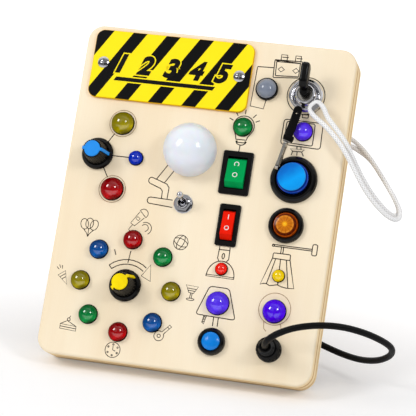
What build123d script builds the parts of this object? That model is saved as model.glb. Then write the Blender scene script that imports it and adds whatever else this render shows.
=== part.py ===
"""Busy board: a leaning plywood box whose face carries switches, buttons, a key and lamps.

Everything is placed from the front face of the board. A place on that face is written (x, v):
x runs to the right from the board's middle, v runs up the face from its bottom edge, and n is
the height above the face, so n is negative inside the board. All sizes are millimetres.
"""

import os
from math import atan2, cos, pi, radians, sin, sqrt, tan

from build123d import *

os.makedirs("parts", exist_ok=True)

# ---- board ----------------------------------------------------------------------------------
WIDTH, HEIGHT, THICK = 205.0, 250.0, 28.0
LEAN = 30.0  # the face leans back this far from upright
CORNER, EDGE = 12.0, 2.0  # outline corner radius, and the softened edge all round
SKIN = 6.0  # wood left in front of the hollow
WALL, RIM = 10.0, 4.0  # round the hollow, and round the recess for the rear cover
COVER = 3.0
BACK = -THICK  # n of the rear face
GAP = 0.2  # clearance between fixed pieces that are put together by hand
RUNNING = 0.08  # radial clearance of a pin in its bore

FRONT_Y = -74.6  # centres the board's footprint on the origin
FRONT_Z = (THICK - EDGE) * sin(radians(LEAN)) - EDGE * cos(radians(LEAN)) + EDGE
FACE = Plane(
    origin=(0, FRONT_Y, FRONT_Z),
    x_dir=(1, 0, 0),
    z_dir=(0, -cos(radians(LEAN)), sin(radians(LEAN))),
)
RIGHT, UP, OUT = FACE.x_dir, FACE.y_dir, FACE.z_dir

# ---- places on the face (x, v) ----------------------------------------------------------------
SELECTOR_A, SELECTOR_B = (-79.8, 151.6), (-42.8, 56.4)
RING_RADIUS = 34.4  # eight lamps about selector B
FAN_RADIUS, FAN_ANGLE = 29.2, 59.0  # three lamps beside selector A
MIDDLE_COLUMN, RIGHT_COLUMN = 26.0, 69.7
PEARL, TOGGLE = (-9.7, 161.4), (-9.6, 121.8)
GREEN_SWITCH, RED_SWITCH = (MIDDLE_COLUMN, 149.0), (MIDDLE_COLUMN, 109.9)
BLUE_BUTTON, GREY_BUTTON = (MIDDLE_COLUMN + 1.2, 24.0), (39.3, 214.0)
KEY, ARCADE = (68.9, 212.2), (RIGHT_COLUMN - 0.6, 149.0)
AMBER, SOCKET = (RIGHT_COLUMN - 1.1, 114.7), (RIGHT_COLUMN, 23.7)
SIGN = (-34.5, 220.2)

# ---- sizes of the bought-in pieces ------------------------------------------------------------
SIGN_SIZE, SIGN_CORNER, SIGN_THICK = (121.6, 52.2), 6.5, 3.0
SIGN_SCREW = 52.1  # each side of the sign's middle
BIG_LAMP, RING_LAMP, MINI_LAMP, TINY_LAMP = 8.3, 6.8, 5.2, 4.3  # dome radii
LAMP_FOOT = 1.4  # straight part under each dome
LAMP_STEM = 0.7  # stem radius as a share of the dome's
PEARL_RADIUS, PEARL_LIFT, PEARL_WALL = 19.8, 6.0, 1.6
SHAFT_RADIUS, SHAFT_TOP = 3.0, 15.0
SKIRT_RADIUS, KNOB_FOOT, KNOB_TOP, KNOB_HEIGHT = 11.9, 9.2, 7.1, 18.5
FLUTES = 24
GREEN_BEZEL, GREEN_ROCKER = (22.6, 32.6), (13.8, 23.0)  # width, height
RED_BEZEL, RED_ROCKER = (15.8, 31.2), (8.7, 22.6)
BEZEL_THICK, BEZEL_LIP = 2.0, 1.5
ROCKER_PIVOT, ROCKER_TILT = -2.5, 9.0  # n of the pivot, and the tilt each way from level
LEVER_PIVOT, LEVER_TILT, LEVER_BALL = 0.8, 14.0, 2.8

# ---- rear: battery box and prop ---------------------------------------------------------------
BATTERY = (-45.0, 213.0)
OPENING = (60.0, 48.0)  # in the cover, closed by the door
BOX_FLOOR, CELL_RADIUS, CELL_LENGTH, CELL_PITCH = -9.0, 7.1, 49.0, 14.5
DOOR_THICK, DOOR_GAP = 2.4, 0.4
HINGE_V, HINGE_LIFT = 165.0, 5.2  # prop hinge: up the back, and behind it
PROP_ANGLE = 42.0  # between the open prop and the board's back
PROP_THICK, PROP_TOP, PROP_FOOT = 5.0, 46.0, 60.0
PIN_RADIUS = 1.2

# ---- cords: places are (x, v, n) --------------------------------------------------------------
CABLE_RADIUS, TETHER_RADIUS = 2.4, 1.8
CABLE_START = 14.5  # n of its end inside the plug


def spot(place, n=0.0):
    """Plane parallel to the face, n above it."""
    return Plane(origin=FACE.from_local_coords((*place, n)), x_dir=RIGHT, z_dir=OUT)


def section(place, n=0.0, tilt=0.0):
    """Plane through an axis standing on the face: X is to the right, Y is along the axis."""
    along = OUT * cos(radians(tilt)) + UP * sin(radians(tilt))
    origin = FACE.from_local_coords((*place, n))
    return Plane(origin=origin, x_dir=RIGHT, z_dir=RIGHT.cross(along))


def side(place, x=0.0):
    """Plane seen from the board's right, x beside a place: X is up the face, Y is n."""
    origin = FACE.from_local_coords((place[0] + x, place[1], 0))
    return Plane(origin=origin, x_dir=UP, z_dir=RIGHT)


def polar(place, radius, angle):
    """The place at a radius and angle from another one."""
    return place[0] + radius * cos(radians(angle)), place[1] + radius * sin(radians(angle))


def turned(plane, *profile, dome=None, mode=Mode.ADD):
    """Revolve a profile of (radius, height) corners about a plane's Y axis.

    With a dome, the last corner is joined to the axis by an arc that rises that much above it.
    """
    with BuildSketch(plane) as half:
        with BuildLine():
            if dome is None:
                Polyline(*profile, close=True)
            else:
                edge, base = profile[-1]
                radius = (edge**2 + dome**2) / (2 * dome)
                middle = atan2(edge, radius - dome) / 2
                centre = base + dome - radius
                between = (radius * sin(middle), centre + radius * cos(middle))
                Polyline(*profile)
                ThreePointArc((edge, base), between, (0, base + dome))
                Line((0, base + dome), profile[0])
        make_face()
    revolve(half.sketch, axis=Axis(plane.origin, plane.y_dir), mode=mode)


def drilled(place, radius, low, high):
    """Cut a round hole from n = low to n = high."""
    with BuildSketch(spot(place, low)) as hole:
        Circle(radius)
    extrude(hole.sketch, amount=high - low, mode=Mode.SUBTRACT)


def block(place, width, height, low, high, corner=0.0, mode=Mode.ADD):
    """Add or cut a block that stands parallel to the face."""
    with BuildSketch(spot(place, low)) as outline:
        if corner:
            RectangleRounded(width, height, corner)
        else:
            Rectangle(width, height)
    extrude(outline.sketch, amount=high - low, mode=mode)


def hexagon_nut(place, flats, bore, low, high):
    """A hexagon nut of a width over flats, round a bore radius."""
    with BuildSketch(spot(place, low)) as outline:
        RegularPolygon(flats / 2, 6, major_radius=False)
        Circle(bore, mode=Mode.SUBTRACT)
    extrude(outline.sketch, amount=high - low)


def save(piece, label):
    """Label a piece and write its file."""
    piece.part.label = label
    export_step(piece.part, f"parts/{label}.step")


def tube(places, radius, label=None):
    """Sweep a round cord along places (x, v, n) with the widest arcs that fit."""
    points = [FACE.from_local_coords(place) for place in places]
    radii = []
    for before, corner, after in zip(points, points[1:], points[2:]):
        into, away = corner - before, after - corner
        shorter = min(into.length, away.length)
        radii.append(0.45 * shorter / tan(radians(into.get_angle(away)) / 2))
    with BuildPart() as cord:
        with BuildLine() as route:
            FilletPolyline(*points, radius=radii)
        path = route.wire()
        with BuildSketch(Plane(origin=path @ 0, z_dir=path % 0)):
            Circle(radius)
        sweep()
    if label:
        length = path.length
        print(label, "length", round(length, 1), "radii", [round(arc, 1) for arc in radii])
        print(label, "volume", round(cord.part.volume), "of", round(pi * radius**2 * length))
    return cord


# ---- lamps, and every round hole through the face ---------------------------------------------
ring = [polar(SELECTOR_B, RING_RADIUS, 90 - 45 * step) for step in range(8)]
fan = [polar(SELECTOR_A, FAN_RADIUS, angle) for angle in (FAN_ANGLE, 0, -FAN_ANGLE)]
LAMPS = {
    "lamps_red": [
        (ring[0], RING_LAMP),
        (ring[4], RING_LAMP),
        (fan[2], BIG_LAMP),
        ((MIDDLE_COLUMN + 0.1, 77.4), TINY_LAMP),
    ],
    "lamps_green": [
        (ring[1], RING_LAMP),
        (ring[5], RING_LAMP),
        ((MIDDLE_COLUMN - 0.3, 183.9), RING_LAMP),
    ],
    "lamps_olive": [(ring[2], RING_LAMP), (ring[6], RING_LAMP), (fan[0], BIG_LAMP)],
    "lamps_blue": [(ring[3], RING_LAMP), (ring[7], RING_LAMP), (fan[1], MINI_LAMP)],
    "lamps_purple": [
        ((RIGHT_COLUMN + 0.9, 185.3), RING_LAMP),
        ((MIDDLE_COLUMN + 1.3, 52.2), BIG_LAMP),
        ((RIGHT_COLUMN - 0.3, 51.7), BIG_LAMP),
    ],
    "lamp_yellow": [((RIGHT_COLUMN - 1.2, 77.6), TINY_LAMP)],
}
THREADS = {  # radius of the threaded barrel behind each control
    SELECTOR_A: 3.7,
    SELECTOR_B: 3.7,
    TOGGLE: 3.9,
    KEY: 7.5,
    ARCADE: 14.0,
    AMBER: 9.4,
    SOCKET: 7.5,
    BLUE_BUTTON: 8.0,
    GREY_BUTTON: 6.4,
    PEARL: 14.0,
}
ROUND_HOLES = [(place, radius + GAP) for place, radius in THREADS.items()]
for lamps in LAMPS.values():
    ROUND_HOLES += [(place, radius * LAMP_STEM + GAP) for place, radius in lamps]


def screw_places():
    """Where the rear cover is screwed to the ledge inside the rim."""
    across, low, high = WIDTH / 2 - RIM - 3, RIM + 3, HEIGHT - RIM - 3
    sides = [(x, v) for x in (-across, across) for v in (22, HEIGHT / 2, HEIGHT - 22)]
    return sides + [(0, low), (0, high)]


BRACKET_SCREWS = [(x, HINGE_V + v) for x in (-21, 21) for v in (-6, 6)]
SIGN_SCREWS = [(SIGN[0] + x, SIGN[1] + 0.8) for x in (-SIGN_SCREW, SIGN_SCREW)]
CABLE_ENTRY = (80.0, 44.0)  # where the plug's cable goes into the rear cover
TETHER_ENTRIES = [(86.0, 199.0), (84.0, 193.0)]

# ==== housing ====================================================================================
with BuildPart() as front_panel:
    middle = (0, HEIGHT / 2)
    block(middle, WIDTH, HEIGHT, BACK, 0, CORNER)
    faces = front_panel.faces().sort_by(Axis(FACE.origin, OUT))
    fillet(faces[0].edges() + faces[-1].edges(), radius=EDGE)
    block(middle, WIDTH - 2 * WALL, HEIGHT - 2 * WALL, BACK, -SKIN, 5, Mode.SUBTRACT)
    recess = (WIDTH - 2 * RIM, HEIGHT - 2 * RIM)
    block(middle, *recess, BACK, BACK + COVER, CORNER - RIM, Mode.SUBTRACT)
    for place, radius in ROUND_HOLES:
        drilled(place, radius, -SKIN, 0)
    for place, (width, height) in ((GREEN_SWITCH, GREEN_BEZEL), (RED_SWITCH, RED_BEZEL)):
        shrink = 2 * BEZEL_LIP - 2 * GAP
        block(place, width - shrink, height - shrink, -SKIN, 0, mode=Mode.SUBTRACT)
    for place in SIGN_SCREWS:
        drilled(place, 1.5, -SKIN, 0)
    for place in screw_places():
        drilled(place, 1.2, BACK + COVER, BACK + COVER + 8)
save(front_panel, "front_panel")

hinge_x = BATTERY[0] - OPENING[0] / 2 + DOOR_GAP + DOOR_THICK / 2
hinge_n = BACK + GAP + DOOR_THICK / 2
DOOR_PIN = 0.8

with BuildPart() as back_cover:
    width, height = (size - 2 * GAP for size in recess)
    block(middle, width, height, BACK, BACK + COVER, CORNER - RIM - GAP)
    block(BATTERY, *OPENING, BACK, BACK + COVER, 0.5, Mode.SUBTRACT)
    for end in (-1, 1):
        edge = BATTERY[1] + end * OPENING[1] / 2
        start = Plane(FACE.from_local_coords((hinge_x, edge, hinge_n)), z_dir=UP)
        with BuildSketch(start):
            Circle(DOOR_PIN + RUNNING)
        extrude(amount=end * 2.5, mode=Mode.SUBTRACT)
    for place in screw_places():
        drilled(place, 1.4, BACK, BACK + COVER)
        turned(section(place, BACK), (0, 0), (2.4, 0), (1.4, 1.0), (0, 1.0), mode=Mode.SUBTRACT)
    for place in BRACKET_SCREWS:
        drilled(place, 1.0, BACK, BACK + COVER)
    drilled(CABLE_ENTRY, CABLE_RADIUS + 0.02, BACK, BACK + COVER)
    for place in TETHER_ENTRIES:
        drilled(place, TETHER_RADIUS + 0.02, BACK, BACK + COVER)
save(back_cover, "back_cover")

with BuildPart() as rear_screws:
    for place in screw_places():
        turned(section(place, BACK), (0, 0), (2.3, 0), (1.2, 1.1), (1.2, 10.5), (0, 10.5))
    for place in BRACKET_SCREWS:
        turned(section(place, BACK - 2), (0, 0), (1.9, 0), (1.0, 1.0), (1.0, 4.5), (0, 4.5))
save(rear_screws, "rear_screws")

# ==== batteries and electronics ==================================================================
box_inner = (OPENING[0] - 4, OPENING[1] - 4)
with BuildPart() as battery_box:
    block(BATTERY, OPENING[0] + 4, OPENING[1] + 4, BACK + COVER, BACK + COVER + 1.2, 2)
    block(BATTERY, box_inner[0] + 3, box_inner[1] + 3, BACK + COVER, BOX_FLOOR, 2)
    block(BATTERY, *box_inner, BACK + COVER, BOX_FLOOR - 1.2, 0.8, Mode.SUBTRACT)
save(battery_box, "battery_box")

cell_n = BOX_FLOOR - 1.2 - CELL_RADIUS
with BuildPart() as battery_cells:
    for row in (-1, 0, 1):
        way = -1 if row == 0 else 1  # every second cell is turned round
        start = FACE.from_local_coords(
            (BATTERY[0] - way * CELL_LENGTH / 2, BATTERY[1] + row * CELL_PITCH, cell_n)
        )
        lying = Plane(origin=start, x_dir=UP, z_dir=-way * OUT)
        nub, tall = 2.7, CELL_LENGTH + 1.2
        outline = [(0, 0), (CELL_RADIUS, 0), (CELL_RADIUS, CELL_LENGTH)]
        turned(lying, *outline, (nub, CELL_LENGTH), (nub, tall), (0, tall))
save(battery_cells, "battery_cells")

with BuildPart() as battery_contacts:
    for end in (-1, 1):
        wall = (BATTERY[0] + end * (box_inner[0] / 2 - 0.4), BATTERY[1])
        block(wall, 0.8, 40, cell_n - 5, cell_n + 5)
        for row in (-1, 0, 1):
            centre = FACE.from_local_coords((wall[0], wall[1] + row * CELL_PITCH, cell_n))
            leaf = Plane(origin=centre, x_dir=UP, z_dir=-end * RIGHT)
            with BuildSketch(leaf):
                Circle(3.4)
            extrude(amount=1.6, taper=25)
save(battery_contacts, "battery_contacts")

with BuildPart() as battery_door:
    far = BATTERY[0] + OPENING[0] / 2 - DOOR_GAP
    door_height = OPENING[1] - 2 * DOOR_GAP
    door_middle = ((hinge_x + far) / 2, BATTERY[1])
    block(door_middle, far - hinge_x, door_height, BACK + GAP, BACK + GAP + DOOR_THICK)
    foot = FACE.from_local_coords((hinge_x, BATTERY[1], hinge_n))
    with BuildSketch(Plane(origin=foot, z_dir=UP)):
        Circle(DOOR_THICK / 2)
    extrude(amount=door_height / 2, both=True)
    with BuildSketch(Plane(origin=foot, z_dir=UP)):
        Circle(DOOR_PIN)
    extrude(amount=door_height / 2 + 2.4, both=True)
    latch = (far, BATTERY[1])
    block(latch, 5, 12, BACK + GAP, BACK + GAP + DOOR_THICK, mode=Mode.SUBTRACT)
save(battery_door, "battery_door")

BOARD_PLACE, BOARD_SIZE = (-42.0, 150.0), (44.0, 58.0)
with BuildPart() as circuit_board:
    standoff, low = BACK + COVER, BACK + COVER + 1.5
    block(BOARD_PLACE, *BOARD_SIZE, low, low + 1.6)
    for x in (-18, 18):
        for v in (-25, 25):
            block((BOARD_PLACE[0] + x, BOARD_PLACE[1] + v), 5, 5, standoff, low)
    for x, v, width, height in ((-6, 8, 12, 12), (10, -12, 9, 16), (-11, -18, 8, 6)):
        block((BOARD_PLACE[0] + x, BOARD_PLACE[1] + v), width, height, low + 1.6, low + 3.4)
save(circuit_board, "circuit_board")

WIRE_RADIUS, wire_n = 0.7, BACK + COVER + 3.1 + 0.9
WIRES = [  # leads that lie inside the hollow, from the circuit board outwards
    [(-21, 165, wire_n), (-12, 168, wire_n + 4), (-2, 182, wire_n + 6), (-4, 200, wire_n + 3)],
    [(-21, 150, wire_n), (-8, 148, wire_n), (3, 143, wire_n + 2), (14, 143, wire_n + 2)],
    [(-21, 135, wire_n), (0, 134, wire_n - 2), (30, 128, wire_n - 2), (52, 140, wire_n + 3)],
    [(-42, 120, wire_n), (-45, 104, wire_n), (-41, 86, wire_n + 3), (-43, 70, wire_n + 4)],
    [(-63, 145, wire_n), (-68, 138, wire_n), (-80, 138, wire_n + 1), (-84, 146, wire_n + 1)],
]
with BuildPart() as wire_loom:
    for route in WIRES:
        add(tube(route, WIRE_RADIUS).part)
save(wire_loom, "wire_loom")

# ==== rear prop ====================================================================================
HINGE = FACE.from_local_coords((0, HINGE_V, BACK - HINGE_LIFT))
TONGUE, BRACKET = 19.2, (9.9, 15.9, 26.0)  # tongue width; bracket's inner, barrel and outer x
toward_hinge = UP * cos(radians(PROP_ANGLE)) + OUT * sin(radians(PROP_ANGLE))
PROP = Plane(origin=HINGE, x_dir=RIGHT, z_dir=RIGHT.cross(toward_hinge))

with BuildPart() as prop_leg:
    with BuildSketch(PROP):
        with BuildLine():
            Polyline(
                (-PROP_TOP / 2, -7),
                (-TONGUE / 2, -7),
                (-TONGUE / 2, 14),
                (TONGUE / 2, 14),
                (TONGUE / 2, -7),
                (PROP_TOP / 2, -7),
                (PROP_FOOT / 2, -160),
                (-PROP_FOOT / 2, -160),
                close=True,
            )
        make_face()
    extrude(amount=PROP_THICK / 2, both=True)
    with BuildSketch(Plane(origin=HINGE, x_dir=UP, z_dir=RIGHT)):
        Circle(3.8)
    extrude(amount=TONGUE / 2, both=True)
    with BuildSketch(Plane(origin=HINGE, x_dir=UP, z_dir=RIGHT)):
        Circle(PIN_RADIUS + RUNNING)
    extrude(amount=TONGUE, both=True, mode=Mode.SUBTRACT)
    block((0, HINGE_V), 60, 60, BACK - 0.3, 0, mode=Mode.SUBTRACT)  # the heel stops on the cover
    split(bisect_by=Plane.XY, keep=Keep.TOP)
save(prop_leg, "prop_leg")

with BuildPart() as leg_brackets:
    for way in (-1, 1):
        inner, barrel, outer = (way * x for x in BRACKET)
        block(((inner + outer) / 2, HINGE_V), outer * way - inner * way, 20, BACK - 2, BACK, 1)
        with BuildSketch(side((0, HINGE_V), inner)):
            with Locations((0, BACK - HINGE_LIFT)):
                Circle(3.2)
            with BuildLine():
                lift = BACK - HINGE_LIFT
                Polyline((-4.5, BACK - 1), (4.5, BACK - 1), (3.2, lift), (-3.2, lift), close=True)
            make_face()
            with Locations((0, BACK - HINGE_LIFT)):
                Circle(PIN_RADIUS, mode=Mode.SUBTRACT)
        extrude(amount=barrel - inner)
    for place in BRACKET_SCREWS:
        countersink = [(0, 0), (1.9, 0), (1.0, 1.0), (1.0, 2.1), (0, 2.1)]
        turned(section(place, BACK - 2), *countersink, mode=Mode.SUBTRACT)
save(leg_brackets, "leg_brackets")

with BuildPart() as leg_pin:
    with BuildSketch(Plane(origin=HINGE, x_dir=UP, z_dir=RIGHT)):
        Circle(PIN_RADIUS)
    extrude(amount=BRACKET[1] + 0.8, both=True)
    for way in (-1, 1):
        end = HINGE + RIGHT * way * BRACKET[1]
        with BuildSketch(Plane(origin=end, x_dir=UP, z_dir=RIGHT * way)):
            Circle(2.2)
        extrude(amount=0.8)
save(leg_pin, "leg_pin")

# ==== sign =========================================================================================
with BuildPart() as hazard_plate:
    block(SIGN, *SIGN_SIZE, 0, SIGN_THICK, SIGN_CORNER)
    fillet(hazard_plate.faces().sort_by(Axis(FACE.origin, OUT))[-1].edges(), radius=1.0)
    for place in SIGN_SCREWS:
        drilled(place, 1.7, 0, SIGN_THICK)
save(hazard_plate, "hazard_plate")

with BuildPart() as plate_screws:
    for place in SIGN_SCREWS:
        shank, head = 1.4, 4.3
        outline = [(0, -SKIN), (shank, -SKIN), (shank, SIGN_THICK), (head, SIGN_THICK)]
        turned(section(place), *outline, (head, SIGN_THICK + 0.5), dome=1.5)
        for width, height in ((4.6, 0.9), (0.9, 4.6)):
            block(place, width, height, SIGN_THICK + 0.7, SIGN_THICK + 3, mode=Mode.SUBTRACT)
save(plate_screws, "plate_screws")

# ==== selectors ====================================================================================
NUT_THICK = 2.2


def knob(place, pointer):
    """A fluted knob and its coloured cap, whose rib drops down a slot to the skirt."""
    top, cap_radius, cap_top, rib = KNOB_HEIGHT, 6.0, KNOB_HEIGHT + 1.0, 2.2
    slope = (KNOB_FOOT - KNOB_TOP) / (top - 4.5)
    with BuildPart() as cap:
        cap_floor = top - 1.4
        profile = [(0, cap_floor), (cap_radius, cap_floor), (cap_radius, cap_top - 0.5)]
        turned(section(place), *profile, (cap_radius - 0.5, cap_top), (0, cap_top))
        along = RIGHT * cos(radians(pointer)) + UP * sin(radians(pointer))
        for way, drop in ((1, 4.2), (-1, top - 2.5)):
            outward = along * way
            origin = FACE.from_local_coords((*place, 0))
            plane = Plane(origin=origin, x_dir=outward, z_dir=outward.cross(OUT))
            outer_low = KNOB_FOOT - slope * (drop - 4.5) + 0.5
            with BuildSketch(plane):
                with BuildLine():
                    Polyline(
                        (cap_radius - 2, cap_floor),
                        (cap_radius - 2, cap_top),
                        (KNOB_TOP - 0.3, cap_top),
                        (KNOB_TOP + 0.5, cap_top - 0.9),
                        (outer_low, drop),
                        (outer_low - 2.4, drop),
                        (KNOB_TOP - 1.9, cap_floor),
                        close=True,
                    )
                make_face()
            extrude(amount=rib / 2, both=True)
    with BuildPart() as body:
        outline = [(0, 0.5), (SKIRT_RADIUS - 0.6, 0.5), (SKIRT_RADIUS, 1.1), (SKIRT_RADIUS, 2.2)]
        shoulder = [(SKIRT_RADIUS - 0.9, 3.4), (KNOB_FOOT + 0.4, 4.5), (KNOB_FOOT, 4.5)]
        turned(section(place), *outline, *shoulder, (KNOB_TOP, top), (0, top))
        for flute in range(FLUTES):
            angle = 360 * (flute + 0.5) / FLUTES
            low_x, low_v = polar(place, KNOB_FOOT + 0.55, angle)
            high_x, high_v = polar(place, KNOB_TOP + 0.55, angle)
            low = FACE.from_local_coords((low_x, low_v, 4.5))
            high = FACE.from_local_coords((high_x, high_v, top))
            with BuildSketch(Plane(origin=low, z_dir=high - low)):
                Circle(1.0)
            extrude(amount=(high - low).length + 1, mode=Mode.SUBTRACT)
        drilled(place, 7.5, 0, 4.2)
        drilled(place, SHAFT_RADIUS, 0, SHAFT_TOP)
        add(cap.part, mode=Mode.SUBTRACT)
    return body, cap


for letter, place, pointer in (("a", SELECTOR_A, 0), ("b", SELECTOR_B, 45)):
    knob_body, knob_cap = knob(place, pointer)
    save(knob_body, f"knob_{letter}_body")
    save(knob_cap, f"knob_{letter}_cap")
    with BuildPart() as shaft:
        outline = [(0, -14), (SHAFT_RADIUS, -14), (SHAFT_RADIUS, SHAFT_TOP), (0, SHAFT_TOP)]
        turned(section(place), *outline)
    save(shaft, f"selector_{letter}_shaft")
    with BuildPart() as selector:
        bushing, bore = THREADS[place], SHAFT_RADIUS + RUNNING
        block(place, 20, 20, -16, -SKIN, 5)
        turned(section(place), (0, -SKIN), (bushing, -SKIN), (bushing, 3.6), (0, 3.6))
        drilled(place, bore, -14.3, 4)
        for step in range(4):
            tag = (place[0] - 6 + 4 * step, place[1])
            block(tag, 1.6, 0.6, -20, -16)
    save(selector, f"selector_{letter}_switch")

with BuildPart() as panel_nuts:
    for place in (SELECTOR_A, SELECTOR_B):
        hexagon_nut(place, 10, THREADS[place] + 0.05, 0, NUT_THICK)
    hexagon_nut(TOGGLE, 11, THREADS[TOGGLE] + 0.05, 0.8, 3.4)
    turned(section(TOGGLE), (4.0, 0), (7.2, 0), (7.2, 0.5), (6.8, 0.8), (4.0, 0.8))
    for place, flats in ((KEY, 19), (SOCKET, 19), (BLUE_BUTTON, 20), (GREY_BUTTON, 16), (AMBER, 23)):
        hexagon_nut(place, flats, THREADS[place] + 0.05, -9, -SKIN)
    hexagon_nut(ARCADE, 31, THREADS[ARCADE] + 0.05, -10, -SKIN)
save(panel_nuts, "panel_nuts")

# ==== lamps ========================================================================================
with BuildPart() as pearl_dome:
    neck, foot = THREADS[PEARL], sqrt(PEARL_RADIUS**2 - PEARL_LIFT**2)
    outline = [(0, -5), (neck, -5), (neck, 0), (foot, 0)]
    turned(section(PEARL), *outline, dome=PEARL_LIFT + PEARL_RADIUS)
    inner_radius, floor = PEARL_RADIUS - PEARL_WALL, 1.5
    foot = sqrt(inner_radius**2 - (PEARL_LIFT - floor) ** 2)
    outline = [(0, -5), (neck - PEARL_WALL, -5), (neck - PEARL_WALL, floor), (foot, floor)]
    rise = PEARL_LIFT + inner_radius - floor
    turned(section(PEARL), *outline, dome=rise, mode=Mode.SUBTRACT)
save(pearl_dome, "pearl_dome")

for label, lamps in LAMPS.items():
    with BuildPart() as domes:
        for place, radius in lamps:
            stem = radius * LAMP_STEM
            outline = [(0, -9), (stem, -9), (stem, 0), (radius, 0), (radius, LAMP_FOOT)]
            turned(section(place), *outline, dome=radius * 0.97)
    save(domes, label)

with BuildPart() as amber_collar:
    thread = THREADS[AMBER]
    bore = thread - 1.0
    outline = [(bore, -14), (thread, -14), (thread, 0), (12.9, 0), (12.9, 2.4), (12.3, 3.6)]
    turned(section(AMBER), *outline, (11.2, 4.4), (10.2, 4.4), (9.4, 3.2), (9.4, 0.6), (bore, 0.6))
save(amber_collar, "amber_collar")

with BuildPart() as amber_lens:
    outline = [(0, 0.6), (9.3, 0.6), (9.3, 3.0), (8.6, 4.6), (7.7, 4.8), (7.4, 6.8)]
    turned(section(AMBER), *outline, dome=1.0)
save(amber_lens, "amber_lens")

# ==== toggle and rocker switches ===================================================================
with BuildPart() as toggle_switch:
    bushing = THREADS[TOGGLE]
    block(TOGGLE, 8, 13, -16, -SKIN, 1)
    outline = [(0, -SKIN), (bushing, -SKIN), (bushing, 4.5), (bushing - 0.3, 4.8), (0, 4.8)]
    turned(section(TOGGLE), *outline)
    drilled(TOGGLE, 3.2, -5, 5)
    for v in (-4.5, 0, 4.5):
        block((TOGGLE[0], TOGGLE[1] + v), 2, 0.8, -20, -16)
save(toggle_switch, "toggle_switch")

with BuildPart() as toggle_lever:
    pivot = section(TOGGLE, LEVER_PIVOT, LEVER_TILT)
    outline = [(0, 0), (1.6, 0), (1.6, 4), (1.9, 12.5), (2.4, 14.8), (2.4, 15.6)]
    turned(pivot, *outline, dome=2.0)
    with Locations(pivot):
        Sphere(LEVER_BALL)
save(toggle_lever, "toggle_lever")


def rocker_switch(place, bezel, rocker, terminals):
    """The frame of a rocker switch, and its rocker with the upper end pressed in."""
    (width, height), (rocker_width, length) = bezel, rocker
    pin, pin_reach = 1.2, rocker_width / 2 + 1.2
    centre = FACE.from_local_coords((*place, ROCKER_PIVOT))
    pivot = Plane(origin=centre, x_dir=UP, z_dir=RIGHT)
    pressed = UP * cos(radians(ROCKER_TILT)) - OUT * sin(radians(ROCKER_TILT))
    with BuildPart() as frame:
        block(place, width, height, 0, BEZEL_THICK, 1.6)
        fillet(frame.faces().sort_by(Axis(FACE.origin, OUT))[-1].edges(), radius=0.9)
        block(place, width - 2 * BEZEL_LIP, height - 2 * BEZEL_LIP, -16, 0)
        pocket = (rocker_width + 0.8, length + 1.0)
        block(place, *pocket, -9, BEZEL_THICK, mode=Mode.SUBTRACT)
        with BuildSketch(pivot):
            Circle(pin + RUNNING)
        extrude(amount=pin_reach + 0.2, both=True, mode=Mode.SUBTRACT)
        for terminal in range(terminals):
            spread = (terminal - (terminals - 1) / 2) * 8
            block((place[0], place[1] + spread), 4.8, 0.8, -22, -16)
    with BuildPart() as paddle:
        half, face_half, face_lift = length / 2, length / 2 - 3.0, 6.9
        with BuildSketch(Plane(origin=centre, x_dir=pressed, z_dir=RIGHT)) as profile:
            with BuildLine():
                ThreePointArc(
                    (-face_half, face_lift), (0, face_lift - 0.5), (face_half, face_lift)
                )
                Polyline(
                    (face_half, face_lift),
                    (half, 1.5),
                    (half - 0.6, -1),
                    (5, -4.6),
                    (-5, -4.6),
                    (-half + 0.6, -1),
                    (-half, 1.5),
                    (-face_half, face_lift),
                )
            make_face()
            fillet(profile.vertices().sort_by(Axis.Y)[-2:], radius=1.0)
        extrude(amount=rocker_width / 2, both=True)
        with BuildSketch(pivot):
            Circle(pin)
        extrude(amount=pin_reach, both=True)
    return frame, paddle


for colour, place, bezel, rocker, terminals in (
    ("green", GREEN_SWITCH, GREEN_BEZEL, GREEN_ROCKER, 3),
    ("red", RED_SWITCH, RED_BEZEL, RED_ROCKER, 2),
):
    switch_frame, switch_rocker = rocker_switch(place, bezel, rocker, terminals)
    save(switch_frame, f"{colour}_rocker_frame")
    save(switch_rocker, f"{colour}_rocker")

# ==== key lock =====================================================================================
ROTOR, ROTOR_TOP, CUP, COLLAR_TOP = 5.75, 7.4, 12.7, 7.8
with BuildPart() as key_escutcheon:
    bore = ROTOR + RUNNING
    flange = [(bore, 0), (CUP - 1.1, 0), (CUP, 1.1), (CUP, 3.2), (CUP - 0.8, 4.2), (10.5, 4.3)]
    collar = [(9.8, 3.6), (9.0, 3.7), (7.4, 6.2), (7.2, COLLAR_TOP - 0.5), (6.7, COLLAR_TOP)]
    turned(section(KEY), *flange, *collar, (bore, COLLAR_TOP))
save(key_escutcheon, "key_escutcheon")

with BuildPart() as key_switch_case:
    thread = THREADS[KEY]
    turned(section(KEY), (0, -23), (7, -23), (7, -14), (thread, -14), (thread, 0), (0, 0))
    drilled(KEY, ROTOR + RUNNING, -12.3, 0)
save(key_switch_case, "key_switch_case")

with BuildPart() as key_rotor:
    outline = [(0, -12), (ROTOR, -12), (ROTOR, ROTOR_TOP - 0.5), (ROTOR - 0.5, ROTOR_TOP)]
    turned(section(KEY), *outline, (0, ROTOR_TOP))
    block(KEY, 2.6, 7.6, -4, ROTOR_TOP, mode=Mode.SUBTRACT)
save(key_rotor, "key_rotor")

BOW_THICK, NECK_FOOT = 6.0, 10.5
with BuildPart() as key_head:
    with BuildSketch(side(KEY)) as bow:
        with BuildLine():
            Polyline(
                (1, 13.0),
                (17.5, 13.5),
                (20, 16),
                (20.3, 22),
                (18, 24.5),
                (6, 24.5),
                (1, 20.5),
                close=True,
            )
        make_face()
        fillet(bow.vertices(), radius=1.4)
    extrude(amount=BOW_THICK / 2, both=True)
    flat_ends = key_head.faces().sort_by(Axis.X)
    fillet(flat_ends[0].edges() + flat_ends[-1].edges(), radius=1.3)
    block(KEY, 3.6, 7.4, NECK_FOOT, 16.0, 0.8)
save(key_head, "key_head")

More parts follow.
